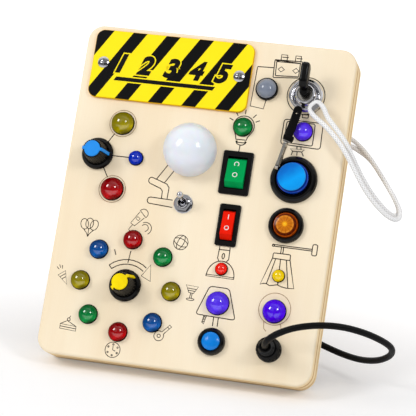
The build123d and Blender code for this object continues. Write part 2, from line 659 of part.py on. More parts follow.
with BuildPart() as key_blade:
    block(KEY, 2.0, 7.0, -3.5, 12)
    block((KEY[0], KEY[1] + 3.2), 2.4, 1.4, -3.5, 6, mode=Mode.SUBTRACT)
    add(key_head.part, mode=Mode.SUBTRACT)
save(key_blade, "key_blade")

# ==== ring, strap and hook =========================================================================
LOOP, LOOP_N, LOOP_RADIUS, LOOP_WIRE = (KEY[0] + 0.6, KEY[1] - 1.0), 5.7, 10.0, 0.7


def hoop(wire, mode=Mode.ADD):
    """The steel ring round the lock's collar, or the room that it needs."""
    with BuildSketch(section(LOOP)) as wire_section:
        with Locations((LOOP_RADIUS, LOOP_N)):
            Circle(wire)
    revolve(wire_section.sketch, axis=Axis(FACE.from_local_coords((*LOOP, 0)), OUT), mode=mode)


with BuildPart() as key_ring:
    hoop(LOOP_WIRE)
save(key_ring, "key_ring")

STRAP = [(65.2, 204.0, 6.6), (64.6, 190.8, 9.3), (61.4, 176.0, 9.3)]
STRAP_WIDTH, STRAP_THICK = 7.2, 3.0
HOOK_FROM = FACE.from_local_coords((61.8, 178.2, 9.3))
HOOK_TO = FACE.from_local_coords((56.9, 153.9, 9.3))
hook_way = (HOOK_TO - HOOK_FROM).normalized()
HOOK_FLAT = Plane(origin=HOOK_FROM, x_dir=hook_way, z_dir=OUT)
HOOK_SIDE = Plane(origin=HOOK_FROM, x_dir=hook_way, z_dir=hook_way.cross(OUT))
EYE_LENGTH, EYE_WIDTH, EYE_WIRE, HOOK_THICK = 4.9, 5.4, 1.5, 2.2
EYE_MIDDLE = (1.7, 0)

with BuildPart() as fob_strap:
    with BuildLine() as route:
        FilletPolyline(*[FACE.from_local_coords(place) for place in STRAP], radius=25)
    with BuildSketch(Plane(origin=route.line @ 0, x_dir=RIGHT, z_dir=route.line % 0)):
        RectangleRounded(STRAP_WIDTH, STRAP_THICK, 1.2)
    sweep()
    with BuildSketch(HOOK_SIDE):  # the end is folded round the hook's eye
        with Locations((0.4, 0)):
            RectangleRounded(5.0, 4.6, 2.0)
    extrude(amount=STRAP_WIDTH / 2, both=True)
    hoop(LOOP_WIRE + 0.1, Mode.SUBTRACT)
    with BuildSketch(HOOK_FLAT):
        with Locations(EYE_MIDDLE):
            Rectangle(EYE_LENGTH + 0.2, EYE_WIDTH + 0.2)
    extrude(amount=EYE_WIRE / 2 + 0.1, both=True, mode=Mode.SUBTRACT)
save(fob_strap, "fob_strap")

GATE_FROM, GATE_TO, GATE_LIFT = 9.0, 19.0, 2.7  # along the hook from its eye, and above its middle
with BuildPart() as snap_hook:
    with BuildSketch(HOOK_FLAT):
        with Locations(EYE_MIDDLE):
            RectangleRounded(EYE_LENGTH, EYE_WIDTH, 0.8)
            Rectangle(EYE_LENGTH - 2 * EYE_WIRE, EYE_WIDTH - 2 * EYE_WIRE, mode=Mode.SUBTRACT)
    extrude(amount=EYE_WIRE / 2, both=True)
    with BuildSketch(HOOK_SIDE):
        with Locations((14.3, 0)):
            SlotOverall(22.4, 7.2)
            SlotOverall(16.8, 3.6, mode=Mode.SUBTRACT)
        with Locations(((GATE_FROM + GATE_TO) / 2, GATE_LIFT)):
            Rectangle(GATE_TO - GATE_FROM, 2.0, mode=Mode.SUBTRACT)
        with Locations((GATE_FROM, GATE_LIFT)):
            Circle(0.9 + RUNNING, mode=Mode.SUBTRACT)
    extrude(amount=HOOK_THICK / 2, both=True)
save(snap_hook, "snap_hook")

with BuildPart() as snap_gate:
    with BuildSketch(HOOK_SIDE):
        with Locations((GATE_FROM, GATE_LIFT)):
            Circle(0.9)
        with Locations(((GATE_FROM + GATE_TO - 0.3) / 2, GATE_LIFT)):
            Rectangle(GATE_TO - GATE_FROM - 0.3, 1.5)
    extrude(amount=HOOK_THICK / 2 - 0.1, both=True)
save(snap_gate, "snap_gate")

# ==== tether and its clip ==========================================================================
TETHER = [  # out of the rear cover, round the right edge to the lock, and back beside itself
    (*TETHER_ENTRIES[0], -25.5),
    (*TETHER_ENTRIES[0], -36.5),
    (92.5, 197.5, -45.5),
    (103.0, 192.6, -48.0),
    (112.6, 184.2, -45.0),
    (122.8, 172.3, -39.5),
    (132.6, 159.8, -33.5),
    (140.7, 148.8, -29.0),
    (146.2, 139.7, -25.0),
    (146.8, 132.9, -20.5),
    (142.2, 131.2, -16.0),
    (134.6, 135.3, -11.0),
    (126.3, 142.4, -5.5),
    (118.6, 151.4, 0.0),
    (111.5, 162.1, 5.0),
    (106.1, 170.4, 8.2),
    (98.7, 179.4, 9.0),
    (87.7, 189.6, 9.0),
    (78.6, 195.5, 8.6),
    (73.3, 201.3, 8.6),
    (78.4, 207.8, 8.6),
    (84.6, 203.2, 8.7),
    (87.7, 196.4, 8.8),
    (96.6, 187.5, 8.8),
    (104.1, 179.3, 7.2),
    (108.7, 172.1, 3.8),
    (113.3, 164.3, -0.5),
    (120.7, 153.3, -6.0),
    (128.4, 144.5, -11.5),
    (136.4, 137.6, -18.0),
    (142.4, 135.2, -24.5),
    (144.9, 139.1, -30.0),
    (141.6, 147.1, -34.5),
    (134.8, 156.7, -39.0),
    (126.0, 168.2, -44.0),
    (115.9, 180.6, -48.0),
    (105.0, 187.0, -49.0),
    (93.5, 191.5, -46.0),
    (*TETHER_ENTRIES[1], -38.5),
    (*TETHER_ENTRIES[1], -26.0),
]
tether_cord = tube(TETHER, TETHER_RADIUS, "tether")
save(tether_cord, "tether_cord")

CLIP, CLIP_ANGLE = (75.85, 204.55), -42.0  # the middle of the bight, and the way the cord leaves it
with BuildPart() as cord_clip:
    way = RIGHT * cos(radians(CLIP_ANGLE)) + UP * sin(radians(CLIP_ANGLE))
    for low, high, along, length, width in ((4.6, 7.0, 1.65, 6.5, 3.2), (6.8, 9.9, 3.3, 3.2, 5.6)):
        foot = FACE.from_local_coords((*CLIP, low))
        with BuildSketch(Plane(origin=foot, x_dir=way, z_dir=OUT)):
            with Locations((along, 0)):
                RectangleRounded(length, width, 0.6)
        extrude(amount=high - low)
    hoop(LOOP_WIRE + 0.1, Mode.SUBTRACT)
    add(tether_cord.part, mode=Mode.SUBTRACT)
save(cord_clip, "cord_clip")

# ==== push buttons =================================================================================
with BuildPart() as arcade_collar:
    thread = THREADS[ARCADE]
    outline = [(0, -18), (thread, -18), (thread, 0), (17.4, 0), (17.4, 1.6), (16.7, 3.3)]
    turned(section(ARCADE), *outline, (15.2, 4.4), (13.6, 4.4), (12.6, 3.4), (0, 3.4))
    drilled(ARCADE, 12.4, -12, 5)
save(arcade_collar, "arcade_collar")

with BuildPart() as arcade_plunger:
    outline = [(0, -7.6), (11.6, -7.6), (11.6, 7.2), (11.2, 8.0), (10.5, 8.4), (10.3, 11.8)]
    turned(section(ARCADE), *outline, (9.8, 12.4), (0, 12.4))
save(arcade_plunger, "arcade_plunger")

with BuildPart() as blue_button_collar:
    thread = THREADS[BLUE_BUTTON]
    outline = [(0, -14), (thread, -14), (thread, 0), (10, 0), (10, 2.4), (9.4, 4.0), (8.4, 4.9)]
    turned(section(BLUE_BUTTON), *outline, (7.5, 4.9), (7.0, 4.4), (0, 4.4))
    drilled(BLUE_BUTTON, 7.0, -8, 5)
save(blue_button_collar, "blue_button_collar")

with BuildPart() as blue_button_cap:
    turned(section(BLUE_BUTTON), (0, -4), (6.6, -4), (6.6, 4.4), dome=2.0)
save(blue_button_cap, "blue_button_cap")

with BuildPart() as grey_button_base:
    thread = THREADS[GREY_BUTTON]
    outline = [(0, -14), (thread, -14), (thread, 0), (8.3, 0), (8.3, 2.8), (7.9, 3.2), (0, 3.2)]
    turned(section(GREY_BUTTON), *outline)
    drilled(GREY_BUTTON, 7.6, 0.4, 4)
    drilled(GREY_BUTTON, 5.4, -10, 4)
save(grey_button_base, "grey_button_base")

with BuildPart() as grey_button_cap:
    outline = [(0, -6), (5, -6), (5, 2.8), (7.25, 2.8), (7.25, 4.0)]
    turned(section(GREY_BUTTON), *outline, dome=4.6)
save(grey_button_cap, "grey_button_cap")

with BuildPart() as button_springs:
    for place, radius, low, high in (
        (ARCADE, 9.0, -12.0, -7.6),
        (BLUE_BUTTON, 5.0, -8.0, -4.0),
        (GREY_BUTTON, 3.6, -10.0, -6.0),
    ):
        wire, turns = 0.4, 2
        rise = high - low - 2 * wire
        coil = Helix(
            pitch=rise / turns,
            height=rise,
            radius=radius,
            center=FACE.from_local_coords((*place, low + wire)),
            direction=OUT,
        )
        with BuildSketch(Plane(origin=coil @ 0, z_dir=coil % 0)) as wire_section:
            Circle(wire)
        sweep(wire_section.sketch, path=coil, is_frenet=True)
save(button_springs, "button_springs")

# ==== socket and plug ==============================================================================
BARREL, BARREL_TOP = 7.0, 8.5
with BuildPart() as socket:
    thread = THREADS[SOCKET]
    outline = [(0, -16), (thread, -16), (thread, 0), (9.2, 0), (9.2, 1.6), (8.8, 2.0)]
    turned(section(SOCKET), *outline, (BARREL, 2.0), (BARREL, BARREL_TOP), (0, BARREL_TOP))
    drilled(SOCKET, 5.2, -6, BARREL_TOP)
save(socket, "socket")

NECK, PLUG_TOP, PIT_FLOOR = 6.2, 19.0, 17.2
with BuildPart() as plug_shell:
    foot, tip = BARREL_TOP + 0.1, 5.0
    outline = [(0, -5.6), (tip, -5.6), (tip, foot), (6.9, foot), (6.9, 9.8), (NECK, 9.8)]
    steps = [(NECK, 13.2), (5.7, 13.8), (5.7, 15.4), (5.2, 16.0), (5.2, 17.8), (4.4, PLUG_TOP)]
    turned(section(SOCKET), *outline, *steps, (0, PLUG_TOP))
    drilled(SOCKET, 3.6, PIT_FLOOR, PLUG_TOP)
    drilled(SOCKET, CABLE_RADIUS, CABLE_START, PLUG_TOP)
save(plug_shell, "plug_shell")

with BuildPart() as plug_ring:
    bore, neck = BARREL + RUNNING, NECK + RUNNING
    base = [(bore, 2.4), (8.6, 2.4), (8.9, 2.7), (8.9, 5.4), (8.2, 6.2), (8.2, 8.4)]
    top = [(7.7, 9.0), (7.7, 10.4), (7.2, 11.0), (neck, 11.0), (neck, 9.9), (bore, 9.9)]
    turned(section(SOCKET), *base, *top)
    for groove in range(18):
        drilled(polar(SOCKET, 9.2, 20 * groove), 0.7, 2, 6)
save(plug_ring, "plug_ring")

CABLE = [
    (*SOCKET, CABLE_START),
    (*SOCKET, 26.5),
    (76.0, 29.6, 35.5),
    (90.5, 36.8, 39.5),
    (107.2, 41.3, 37.5),
    (122.5, 43.2, 32.0),
    (136.5, 42.6, 23.0),
    (148.5, 40.4, 11.5),
    (157.0, 37.2, -1.5),
    (155.6, 33.0, -14.5),
    (146.0, 29.4, -26.5),
    (132.5, 29.2, -38.0),
    (117.5, 32.4, -48.5),
    (102.0, 37.2, -52.5),
    (87.5, 42.0, -49.0),
    (*CABLE_ENTRY, -37.5),
    (*CABLE_ENTRY, -25.5),
]
save(tube(CABLE, CABLE_RADIUS, "plug cable"), "plug_cable")
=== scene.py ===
"""Dress the wooden busy board: finishes, burnt-in pictures, printed marks, cords, light and camera.

A place on the board's front face is written (x, v): x runs to the right from the board's middle
and v runs up the face from its bottom edge. n is the height above the face. All three are in
millimetres, and the FaceFrame turns them into the metres of the shared frame.
"""

import logging
import math
from dataclasses import dataclass, field
from enum import Enum
from functools import cache
from typing import Sequence

import bmesh
import bpy
from mathutils import Matrix, Vector


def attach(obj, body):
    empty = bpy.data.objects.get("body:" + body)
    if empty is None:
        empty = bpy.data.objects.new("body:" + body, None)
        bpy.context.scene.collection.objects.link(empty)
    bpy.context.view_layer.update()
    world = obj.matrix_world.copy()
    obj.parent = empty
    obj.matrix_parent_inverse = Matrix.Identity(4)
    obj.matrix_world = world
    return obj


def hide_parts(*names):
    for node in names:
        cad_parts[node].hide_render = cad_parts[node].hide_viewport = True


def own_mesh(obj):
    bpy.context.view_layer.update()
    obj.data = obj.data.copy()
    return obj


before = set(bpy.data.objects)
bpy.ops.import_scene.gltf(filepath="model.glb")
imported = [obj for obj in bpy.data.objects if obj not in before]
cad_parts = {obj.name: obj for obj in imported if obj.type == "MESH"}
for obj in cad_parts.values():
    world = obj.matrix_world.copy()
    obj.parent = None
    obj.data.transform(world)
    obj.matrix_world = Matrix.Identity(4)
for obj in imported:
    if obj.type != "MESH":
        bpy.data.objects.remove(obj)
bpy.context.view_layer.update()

log = logging.getLogger("busy_board")

MM = 0.001
Place = tuple[float, float]
Point = tuple[float, float, float]
Colour = tuple[float, float, float]
Stops = tuple[tuple[float, Colour], ...]

SELECTOR_A: Place = (-79.8, 151.6)
SELECTOR_B: Place = (-42.8, 56.4)
FAN_RADIUS = 29.2
FAN_ANGLE = 59.0
GREEN_SWITCH: Place = (26.0, 149.0)
RED_SWITCH: Place = (26.0, 109.9)
GREY_BUTTON: Place = (39.3, 214.0)
ARCADE: Place = (69.1, 149.0)
AMBER: Place = (68.6, 114.7)
SIGN: Place = (-34.5, 220.2)
SIGN_TOP = 3.0
RING_RADIUS = 34.4
BIG_LAMP, RING_LAMP, MINI_LAMP, TINY_LAMP = 8.3, 6.8, 5.2, 4.3
GREEN_LAMP: Place = (25.7, 183.9)
VIOLET_LAMPS: tuple[Place, Place] = ((70.6, 185.3), (27.3, 52.2))
TINY_RED: Place = (26.1, 77.4)
MINI_BLUE: Place = (SELECTOR_A[0] + FAN_RADIUS, SELECTOR_A[1])
DEEP_VIOLET: Place = (69.4, 51.7)
TINY_YELLOW: Place = (68.5, 77.6)
TETHER_HOLES: tuple[Place, Place] = ((86.0, 199.0), (84.0, 193.0))


def linear(value: int) -> float:
    """Linear strength of one 8-bit display value."""
    share = value / 255
    return share / 12.92 if share <= 0.04045 else ((share + 0.055) / 1.055) ** 2.4


def srgb(red: int, green: int, blue: int) -> Colour:
    """Linear colour of an 8-bit display colour."""
    return linear(red), linear(green), linear(blue)


def polar(place: Place, radius: float, angle: float) -> Place:
    """The place at a radius and an angle in degrees from another one."""
    turn = math.radians(angle)
    return place[0] + radius * math.cos(turn), place[1] + radius * math.sin(turn)


@dataclass(frozen=True)
class FaceFrame:
    """The leaning front face, in the same driving sizes as the frame's source."""

    lean: float = 30.0
    thickness: float = 28.0
    edge: float = 2.0
    front_y: float = -74.6

    @property
    def front_z(self) -> float:
        """Height of the face's bottom edge above the floor, in millimetres."""
        lean = math.radians(self.lean)
        return (self.thickness - self.edge) * math.sin(lean) + self.edge * (1 - math.cos(lean))

    def matrix(self, place: Place = (0.0, 0.0), n: float = 0.0) -> Matrix:
        """Matrix from millimetres about a place on the face to the frame's metres.

        Args:
            place: The place that becomes the origin.
            n: The height of the origin above the face.

        Returns:
            A matrix whose X runs right, Y up the face and Z out of it.
        """
        origin = Matrix.Translation((0, self.front_y, self.front_z))
        turn = Matrix.Rotation(math.radians(90 - self.lean), 4, "X")
        return Matrix.Scale(MM, 4) @ origin @ turn @ Matrix.Translation((*place, n))

    def point(self, x: float, v: float, n: float = 0.0) -> Vector:
        """A point over the face, in the frame's metres."""
        return self.matrix() @ Vector((x, v, n))


FACE = FaceFrame()


class Nodes:
    """A node tree, with short calls for the nodes that finishes and sky share."""

    def __init__(self, tree: bpy.types.NodeTree) -> None:
        """Keep the tree that the calls add nodes to."""
        self.tree = tree

    def node(self, kind: str, **settings: object) -> bpy.types.Node:
        """Add a node and set its properties.

        Args:
            kind: The node's type.
            **settings: Its properties by name.

        Returns:
            The new node.
        """
        made = self.tree.nodes.new(kind)
        for name, value in settings.items():
            setattr(made, name, value)
        return made

    def join(self, source: bpy.types.NodeSocket, target: bpy.types.NodeSocket) -> None:
        """Link one socket to another."""
        self.tree.links.new(source, target)

    def moved(
        self,
        vector: bpy.types.NodeSocket,
        move: Point = (0, 0, 0),
        scale: Point = (1, 1, 1),
        turn: float = 0.0,
    ) -> bpy.types.NodeSocket:
        """Scale a pattern's coordinates, turn them about Z in degrees, then move them.

        Args:
            vector: The coordinates.
            move: How far they move.
            scale: The scale along each axis.
            turn: The turn about Z in degrees.

        Returns:
            The moved coordinates.
        """
        mapping = self.node("ShaderNodeMapping")
        mapping.inputs["Location"].default_value = move
        mapping.inputs["Scale"].default_value = scale
        mapping.inputs["Rotation"].default_value = (0, 0, math.radians(turn))
        self.join(vector, mapping.inputs["Vector"])
        return mapping.outputs["Vector"]

    def axis(self, vector: bpy.types.NodeSocket, name: str) -> bpy.types.NodeSocket:
        """One component of a vector: X, Y or Z.

        Args:
            vector: The vector.
            name: X, Y or Z.

        Returns:
            The socket that gives the result.
        """
        split = self.node("ShaderNodeSeparateXYZ")
        self.join(vector, split.inputs[0])
        return split.outputs[name]

    def noise(
        self, vector: bpy.types.NodeSocket, scale: float, detail: float = 3.0
    ) -> bpy.types.NodeSocket:
        """Soft noise between 0 and 1.

        Args:
            vector: The coordinates.
            scale: How fine the noise is.
            detail: How many finer layers it has.

        Returns:
            The socket that gives the result.
        """
        noise = self.node("ShaderNodeTexNoise")
        noise.inputs["Scale"].default_value = scale
        noise.inputs["Detail"].default_value = detail
        self.join(vector, noise.inputs["Vector"])
        return noise.outputs["Fac"]

    def maths(
        self,
        operation: str,
        first: bpy.types.NodeSocket | float,
        second: bpy.types.NodeSocket | float = 0.0,
    ) -> bpy.types.NodeSocket:
        """A Math node over sockets or numbers.

        Args:
            operation: What the node does.
            first: The first operand.
            second: The second operand.

        Returns:
            The socket that gives the result.
        """
        made = self.node("ShaderNodeMath", operation=operation)
        for socket, value in zip(made.inputs, (first, second)):
            if isinstance(value, bpy.types.NodeSocket):
                self.join(value, socket)
            else:
                socket.default_value = value
        return made.outputs[0]

    def spread(
        self, value: bpy.types.NodeSocket, low: float, high: float, first: float = 0, last: float = 1
    ) -> bpy.types.NodeSocket:
        """Map a value from low..high to first..last, and hold it there.

        Args:
            value: The value to map.
            low: The value that becomes first.
            high: The value that becomes last.
            first: The result at low and below.
            last: The result at high and above.

        Returns:
            The socket that gives the result.
        """
        made = self.node("ShaderNodeMapRange")
        self.join(value, made.inputs["Value"])
        numbers = (("From Min", low), ("From Max", high), ("To Min", first), ("To Max", last))
        for name, number in numbers:
            made.inputs[name].default_value = number
        return made.outputs["Result"]

    def ramp(
        self, value: bpy.types.NodeSocket, stops: Sequence[tuple[float, Colour]]
    ) -> bpy.types.NodeSocket:
        """Colour along a value between 0 and 1.

        Args:
            value: Where on the ramp.
            stops: Positions and their colours.

        Returns:
            The colour's socket.
        """
        made = self.node("ShaderNodeValToRGB")
        elements = made.color_ramp.elements
        while len(elements) < len(stops):
            elements.new(0.5)
        for element, (position, colour) in zip(elements, stops):
            element.position = position
            element.color = (*colour, 1.0)
        self.join(value, made.inputs[0])
        return made.outputs["Color"]

    def mix(
        self,
        share: bpy.types.NodeSocket | float,
        first: bpy.types.NodeSocket | Colour,
        second: bpy.types.NodeSocket | Colour,
        blend: str = "MIX",
    ) -> bpy.types.NodeSocket:
        """Mix two colours.

        Args:
            share: How much of the second colour.
            first: The colour at a share of 0.
            second: The colour at a share of 1.
            blend: How the second lies on the first.

        Returns:
            The mixed colour's socket.
        """
        made = self.node("ShaderNodeMix", data_type="RGBA", blend_type=blend)
        for socket, value in zip((made.inputs[0], made.inputs[6], made.inputs[7]), (share, first, second)):
            if isinstance(value, bpy.types.NodeSocket):
                self.join(value, socket)
            elif isinstance(value, tuple):
                socket.default_value = (*value, 1.0)
            else:
                socket.default_value = value
        return made.outputs[2]


class Recipe(Nodes):
    """A material's node tree about one Principled shader."""

    def __init__(self, name: str) -> None:
        """Start a material that holds one Principled shader.

        Args:
            name: The material's name.
        """
        self.material = bpy.data.materials.new(name)
        self.material.use_nodes = True
        super().__init__(self.material.node_tree)
        self.shader = self.tree.nodes["Principled BSDF"]

    def shade(self, **sockets: float | Sequence[float]) -> None:
        """Set the shader's own sockets, with an underscore for each space in a name.

        Args:
            **sockets: The values by the sockets' names.
        """
        for name, value in sockets.items():
            socket = self.shader.inputs[name.replace("_", " ")]
            is_colour = socket.type == "RGBA"
            socket.default_value = (*value, 1.0) if is_colour else value

    def feed(self, source: bpy.types.NodeSocket, socket: str) -> None:
        """Link a socket to one of the shader's inputs."""
        self.join(source, self.shader.inputs[socket])

    def place(self) -> bpy.types.NodeSocket:
        """Coordinates in millimetres along the face: x, v and n.

        Returns:
            The coordinates' socket.
        """
        coordinates = self.node("ShaderNodeTexCoord")
        turn = Matrix.Rotation(math.radians(FACE.lean - 90), 3, "X")
        origin = turn @ Vector((0, FACE.front_y, FACE.front_z))
        mapping = self.node("ShaderNodeMapping")
        mapping.inputs["Scale"].default_value = (1 / MM,) * 3
        mapping.inputs["Rotation"].default_value = (math.radians(FACE.lean - 90), 0, 0)
        mapping.inputs["Location"].default_value = -origin
        self.join(coordinates.outputs["Object"], mapping.inputs["Vector"])
        return mapping.outputs["Vector"]

    def gloss(self, weight: float, socket: str, near: float = 0.3, rim: float = 0.8) -> None:
        """Feed a gloss that is full where the surface faces out and faint at its rim.

        Args:
            weight: The full gloss.
            socket: The shader's input that takes it.
            near: The slope, from 0 facing out to 1 at the outline, at which it begins to fade.
            rim: The slope at which it has faded.
        """
        layer = self.node("ShaderNodeLayerWeight")
        layer.inputs["Blend"].default_value = 0.5
        self.feed(self.spread(layer.outputs["Facing"], near, rim, weight, 0.1 * weight), socket)

    def bump(self, height: bpy.types.NodeSocket, depth: float, strength: float = 1.0) -> None:
        """Raise the surface by a height between 0 and 1 times a depth in millimetres.

        Args:
            height: The height as a value.
            depth: How far a height of 1 stands out, in millimetres.
            strength: How strongly the light answers to it.
        """
        made = self.node("ShaderNodeBump")
        made.inputs["Strength"].default_value = strength
        made.inputs["Distance"].default_value = depth * MM
        self.join(height, made.inputs["Height"])
        self.feed(made.outputs["Normal"], "Normal")


@dataclass(frozen=True)
class Finish:
    """What a surface is made of. A finish is made once and shared by the pieces that have it."""

    name: str

    @cache
    def material(self) -> bpy.types.Material:
        """The finish's material, which the first call makes.

        Returns:
            The material.
        """
        recipe = Recipe(f"{self.name}_finish")
        self.mix_recipe(recipe)
        return recipe.material

    def mix_recipe(self, recipe: Recipe) -> None:
        """Lay out the node tree."""
        raise NotImplementedError


@dataclass(frozen=True)
class Plywood(Finish):
    """Sanded birch plywood: a quiet face, and the plies round its edges."""

    face: Colour = srgb(250, 236, 210)
    shade: Colour = srgb(243, 224, 192)
    pale_ply: Colour = srgb(252, 228, 184)
    dark_ply: Colour = srgb(236, 204, 154)
    glue: Colour = srgb(208, 164, 110)
    fleck: Colour = srgb(226, 196, 152)
    thickness: float = FACE.thickness
    mottle_scale: Point = (0.022, 0.004, 0.02)
    grain_scale: Point = (1.1, 0.035, 1.0)
    fleck_scale: Point = (2.4, 0.3, 2.0)
    ply_scale: Point = (0.05, 0.05, 0.4)
    grain_share: float = 0.12
    fleck_share: float = 0.22
    ply_waver: float = 0.01
    edge: tuple[float, float] = (0.03, 0.055)
    relief: float = 0.03

    def mix_recipe(self, recipe: Recipe) -> None:
        """Fine grain runs up the face; glue lines and end grain run round the edge.

        Args:
            recipe: The material's node tree.
        """
        place = recipe.place()
        broad = recipe.noise(recipe.moved(place, scale=self.mottle_scale), 1.0, 3.0)
        fine = recipe.noise(recipe.moved(place, scale=self.grain_scale), 1.0, 4.0)
        flecks = recipe.noise(recipe.moved(place, scale=self.fleck_scale), 1.0, 2.0)
        streaks = recipe.maths("MULTIPLY", fine, self.grain_share)
        grain = recipe.maths("ADD", recipe.maths("MULTIPLY", broad, 1.0 - self.grain_share), streaks)
        wood = recipe.mix(recipe.spread(grain, 0.36, 0.66), self.face, self.shade)
        speck = recipe.spread(flecks, 0.66, 0.8, 0.0, self.fleck_share)
        wood = recipe.mix(speck, wood, self.fleck)
        depth = recipe.maths("DIVIDE", recipe.axis(place, "Z"), -self.thickness)
        wobble = recipe.noise(recipe.moved(place, scale=self.ply_scale), 1.0)
        plies = recipe.ramp(
            recipe.maths("ADD", depth, recipe.spread(wobble, 0.0, 1.0, -self.ply_waver, self.ply_waver)),
            [
                (0.0, self.pale_ply),
                (0.28, self.pale_ply),
                (0.3, self.glue),
                (0.37, self.glue),
                (0.39, self.dark_ply),
                (0.5, self.pale_ply),
                (0.6, self.pale_ply),
                (0.7, self.dark_ply),
                (0.72, self.glue),
                (0.77, self.glue),
                (0.79, self.pale_ply),
                (1.0, self.pale_ply),
            ],
        )
        past_face = recipe.spread(depth, *self.edge)
        recipe.feed(recipe.mix(past_face, wood, plies), "Base Color")
        recipe.shade(Roughness=0.6, Specular_IOR_Level=0.03)
        recipe.bump(fine, self.relief, 0.2)


@dataclass(frozen=True)
class Hardboard(Finish):
    """Pressed board with a faintly mottled, fibrous face."""

    light: Colour = srgb(199, 167, 122)
    dark: Colour = srgb(172, 137, 94)
    fibre_scale: Point = (0.9, 0.25, 0.9)
    mottle_scale: float = 0.05
    roughness: float = 0.62
    relief: float = 0.05

    def mix_recipe(self, recipe: Recipe) -> None:
        """Two noises make the fibres and the mottle.

        Args:
            recipe: The material's node tree.
        """
        place = recipe.place()
        fibre = recipe.noise(recipe.moved(place, scale=self.fibre_scale), 1.0, 6.0)
        mottle = recipe.noise(place, self.mottle_scale, 2.0)
        share = recipe.maths("MULTIPLY", recipe.maths("ADD", fibre, mottle), 0.5)
        recipe.feed(recipe.mix(recipe.spread(share, 0.3, 0.7), self.light, self.dark), "Base Color")
        recipe.shade(Roughness=self.roughness)
        recipe.bump(fibre, self.relief, 0.6)


@dataclass(frozen=True)
class Metal(Finish):
    """Plated or plain metal with faint smudges in its polish."""

    tone: Colour
    roughness: float
    smudge: float
    haze_scale: float = 0.12
    dulling: float = 0.82

    def mix_recipe(self, recipe: Recipe) -> None:
        """Noise varies the polish and, a little, the tone.

        Args:
            recipe: The material's node tree.
        """
        place = recipe.place()
        haze = recipe.noise(place, self.haze_scale, 1.0)
        dull = tuple(self.dulling * part for part in self.tone)
        recipe.feed(recipe.mix(recipe.spread(haze, 0.35, 0.75), self.tone, dull), "Base Color")
        recipe.feed(
            recipe.spread(haze, 0.3, 0.75, self.roughness, self.roughness + self.smudge), "Roughness"
        )
        recipe.shade(Metallic=1.0)


@dataclass(frozen=True)
class Plastic(Finish):
    """Moulded plastic or rubber, with a fine skin and a slight drift in its colour."""

    tone: Colour
    roughness: float
    coat: float = 0.0
    specular: float = 0.5
    skin: float = 0.012
    drift_scale: float = 0.12
    skin_scale: float = 3.5
    deepening: float = 0.86

    def mix_recipe(self, recipe: Recipe) -> None:
        """A broad noise drifts the colour and a fine one makes the skin.

        Args:
            recipe: The material's node tree.
        """
        place = recipe.place()
        drift = recipe.noise(place, self.drift_scale, 2.0)
        skin = recipe.noise(place, self.skin_scale, 2.0)
        deep = tuple(self.deepening * part for part in self.tone)
        recipe.feed(recipe.mix(recipe.spread(drift, 0.3, 0.7), self.tone, deep), "Base Color")
        recipe.feed(
            recipe.spread(skin, 0.3, 0.7, self.roughness * 0.9, self.roughness * 1.15), "Roughness"
        )
        recipe.shade(Coat_Weight=self.coat, Coat_Roughness=0.04)
        recipe.gloss(self.specular, "Specular IOR Level")
        recipe.bump(skin, self.skin, 0.35)


@dataclass(frozen=True)
class TintedDome(Finish):
    """A clear lamp dome: painted shade deep above, painted light brighter low down, and a painted shadow dark
    round its foot.
    """

    tone: Colour
    accent: Colour = (0.0, 0.0, 0.0)
    accent_place: Place = (0.0, -100.0)
    # share of the painted light and shade that the lamp's own tone takes
    shading: float = 1.0
    low: Point = (0.4, -0.8, 0.1)
    foot: float = 1.3
    reach: float = 10.0
    blur: float = 0.5
    cloud: float = 0.03
    painted_foot_shade: float = 0.06
    # painted light and shade: levels along the slope towards low, dark above and brightest in a crescent low
    # down
    painted_light_levels: tuple[tuple[float, float], ...] = (
        (0.0, 0.2),
        (0.3, 0.46),
        (0.5, 0.6),
        (0.7, 0.8),
        (0.86, 1.3),
        (0.94, 0.8),
        (1.0, 0.3),
    )

    def mix_recipe(self, recipe: Recipe) -> None:
        """The surface's own direction on the face paints light and shade into the tone; one lamp may have its
        own.

        Args:
            recipe: The material's node tree.
        """
        coordinates = recipe.node("ShaderNodeTexCoord")
        turned = recipe.node("ShaderNodeMapping", vector_type="NORMAL")
        turned.inputs["Rotation"].default_value = (math.radians(FACE.lean - 90), 0, 0)
        recipe.join(coordinates.outputs["Normal"], turned.inputs["Vector"])
        facing = recipe.node("ShaderNodeVectorMath", operation="DOT_PRODUCT")
        recipe.join(turned.outputs["Vector"], facing.inputs[0])
        facing.inputs[1].default_value = self.low
        place = recipe.place()
        cloud = recipe.spread(recipe.noise(place, 0.12, 1.0), 0.2, 0.8, -self.cloud, self.cloud)
        painted_light_slope = recipe.maths("ADD", facing.outputs["Value"], cloud)
        greys = [(stop, (level,) * 3) for stop, level in self.painted_light_levels]
        # painted light and shade: these levels multiply the tone
        light = recipe.ramp(recipe.spread(painted_light_slope, -0.9, 0.9), greys)
        offset = recipe.moved(place, move=(-self.accent_place[0], -self.accent_place[1], 0))
        length = recipe.node("ShaderNodeVectorMath", operation="LENGTH")
        recipe.join(offset, length.inputs[0])
        own = recipe.spread(length.outputs["Value"], self.reach, self.reach + self.blur)
        tone = recipe.mix(own, self.accent, self.tone)
        lit = recipe.mix(recipe.spread(own, 0.0, 1.0, 0.35, self.shading), tone, light, "MULTIPLY")
        # painted shadow: below the foot's height the dome is darkened to a small share of its tone
        above = recipe.spread(recipe.axis(place, "Z"), self.foot, self.foot + self.blur)
        shadow = tuple(self.painted_foot_shade * part for part in self.tone)
        recipe.feed(recipe.mix(above, shadow, lit), "Base Color")
        recipe.shade(Roughness=0.3, Specular_IOR_Level=0.0)
        recipe.shade(Coat_Roughness=0.08, Coat_IOR=1.9)
        recipe.gloss(1.0, "Coat Weight", 0.13, 0.25)


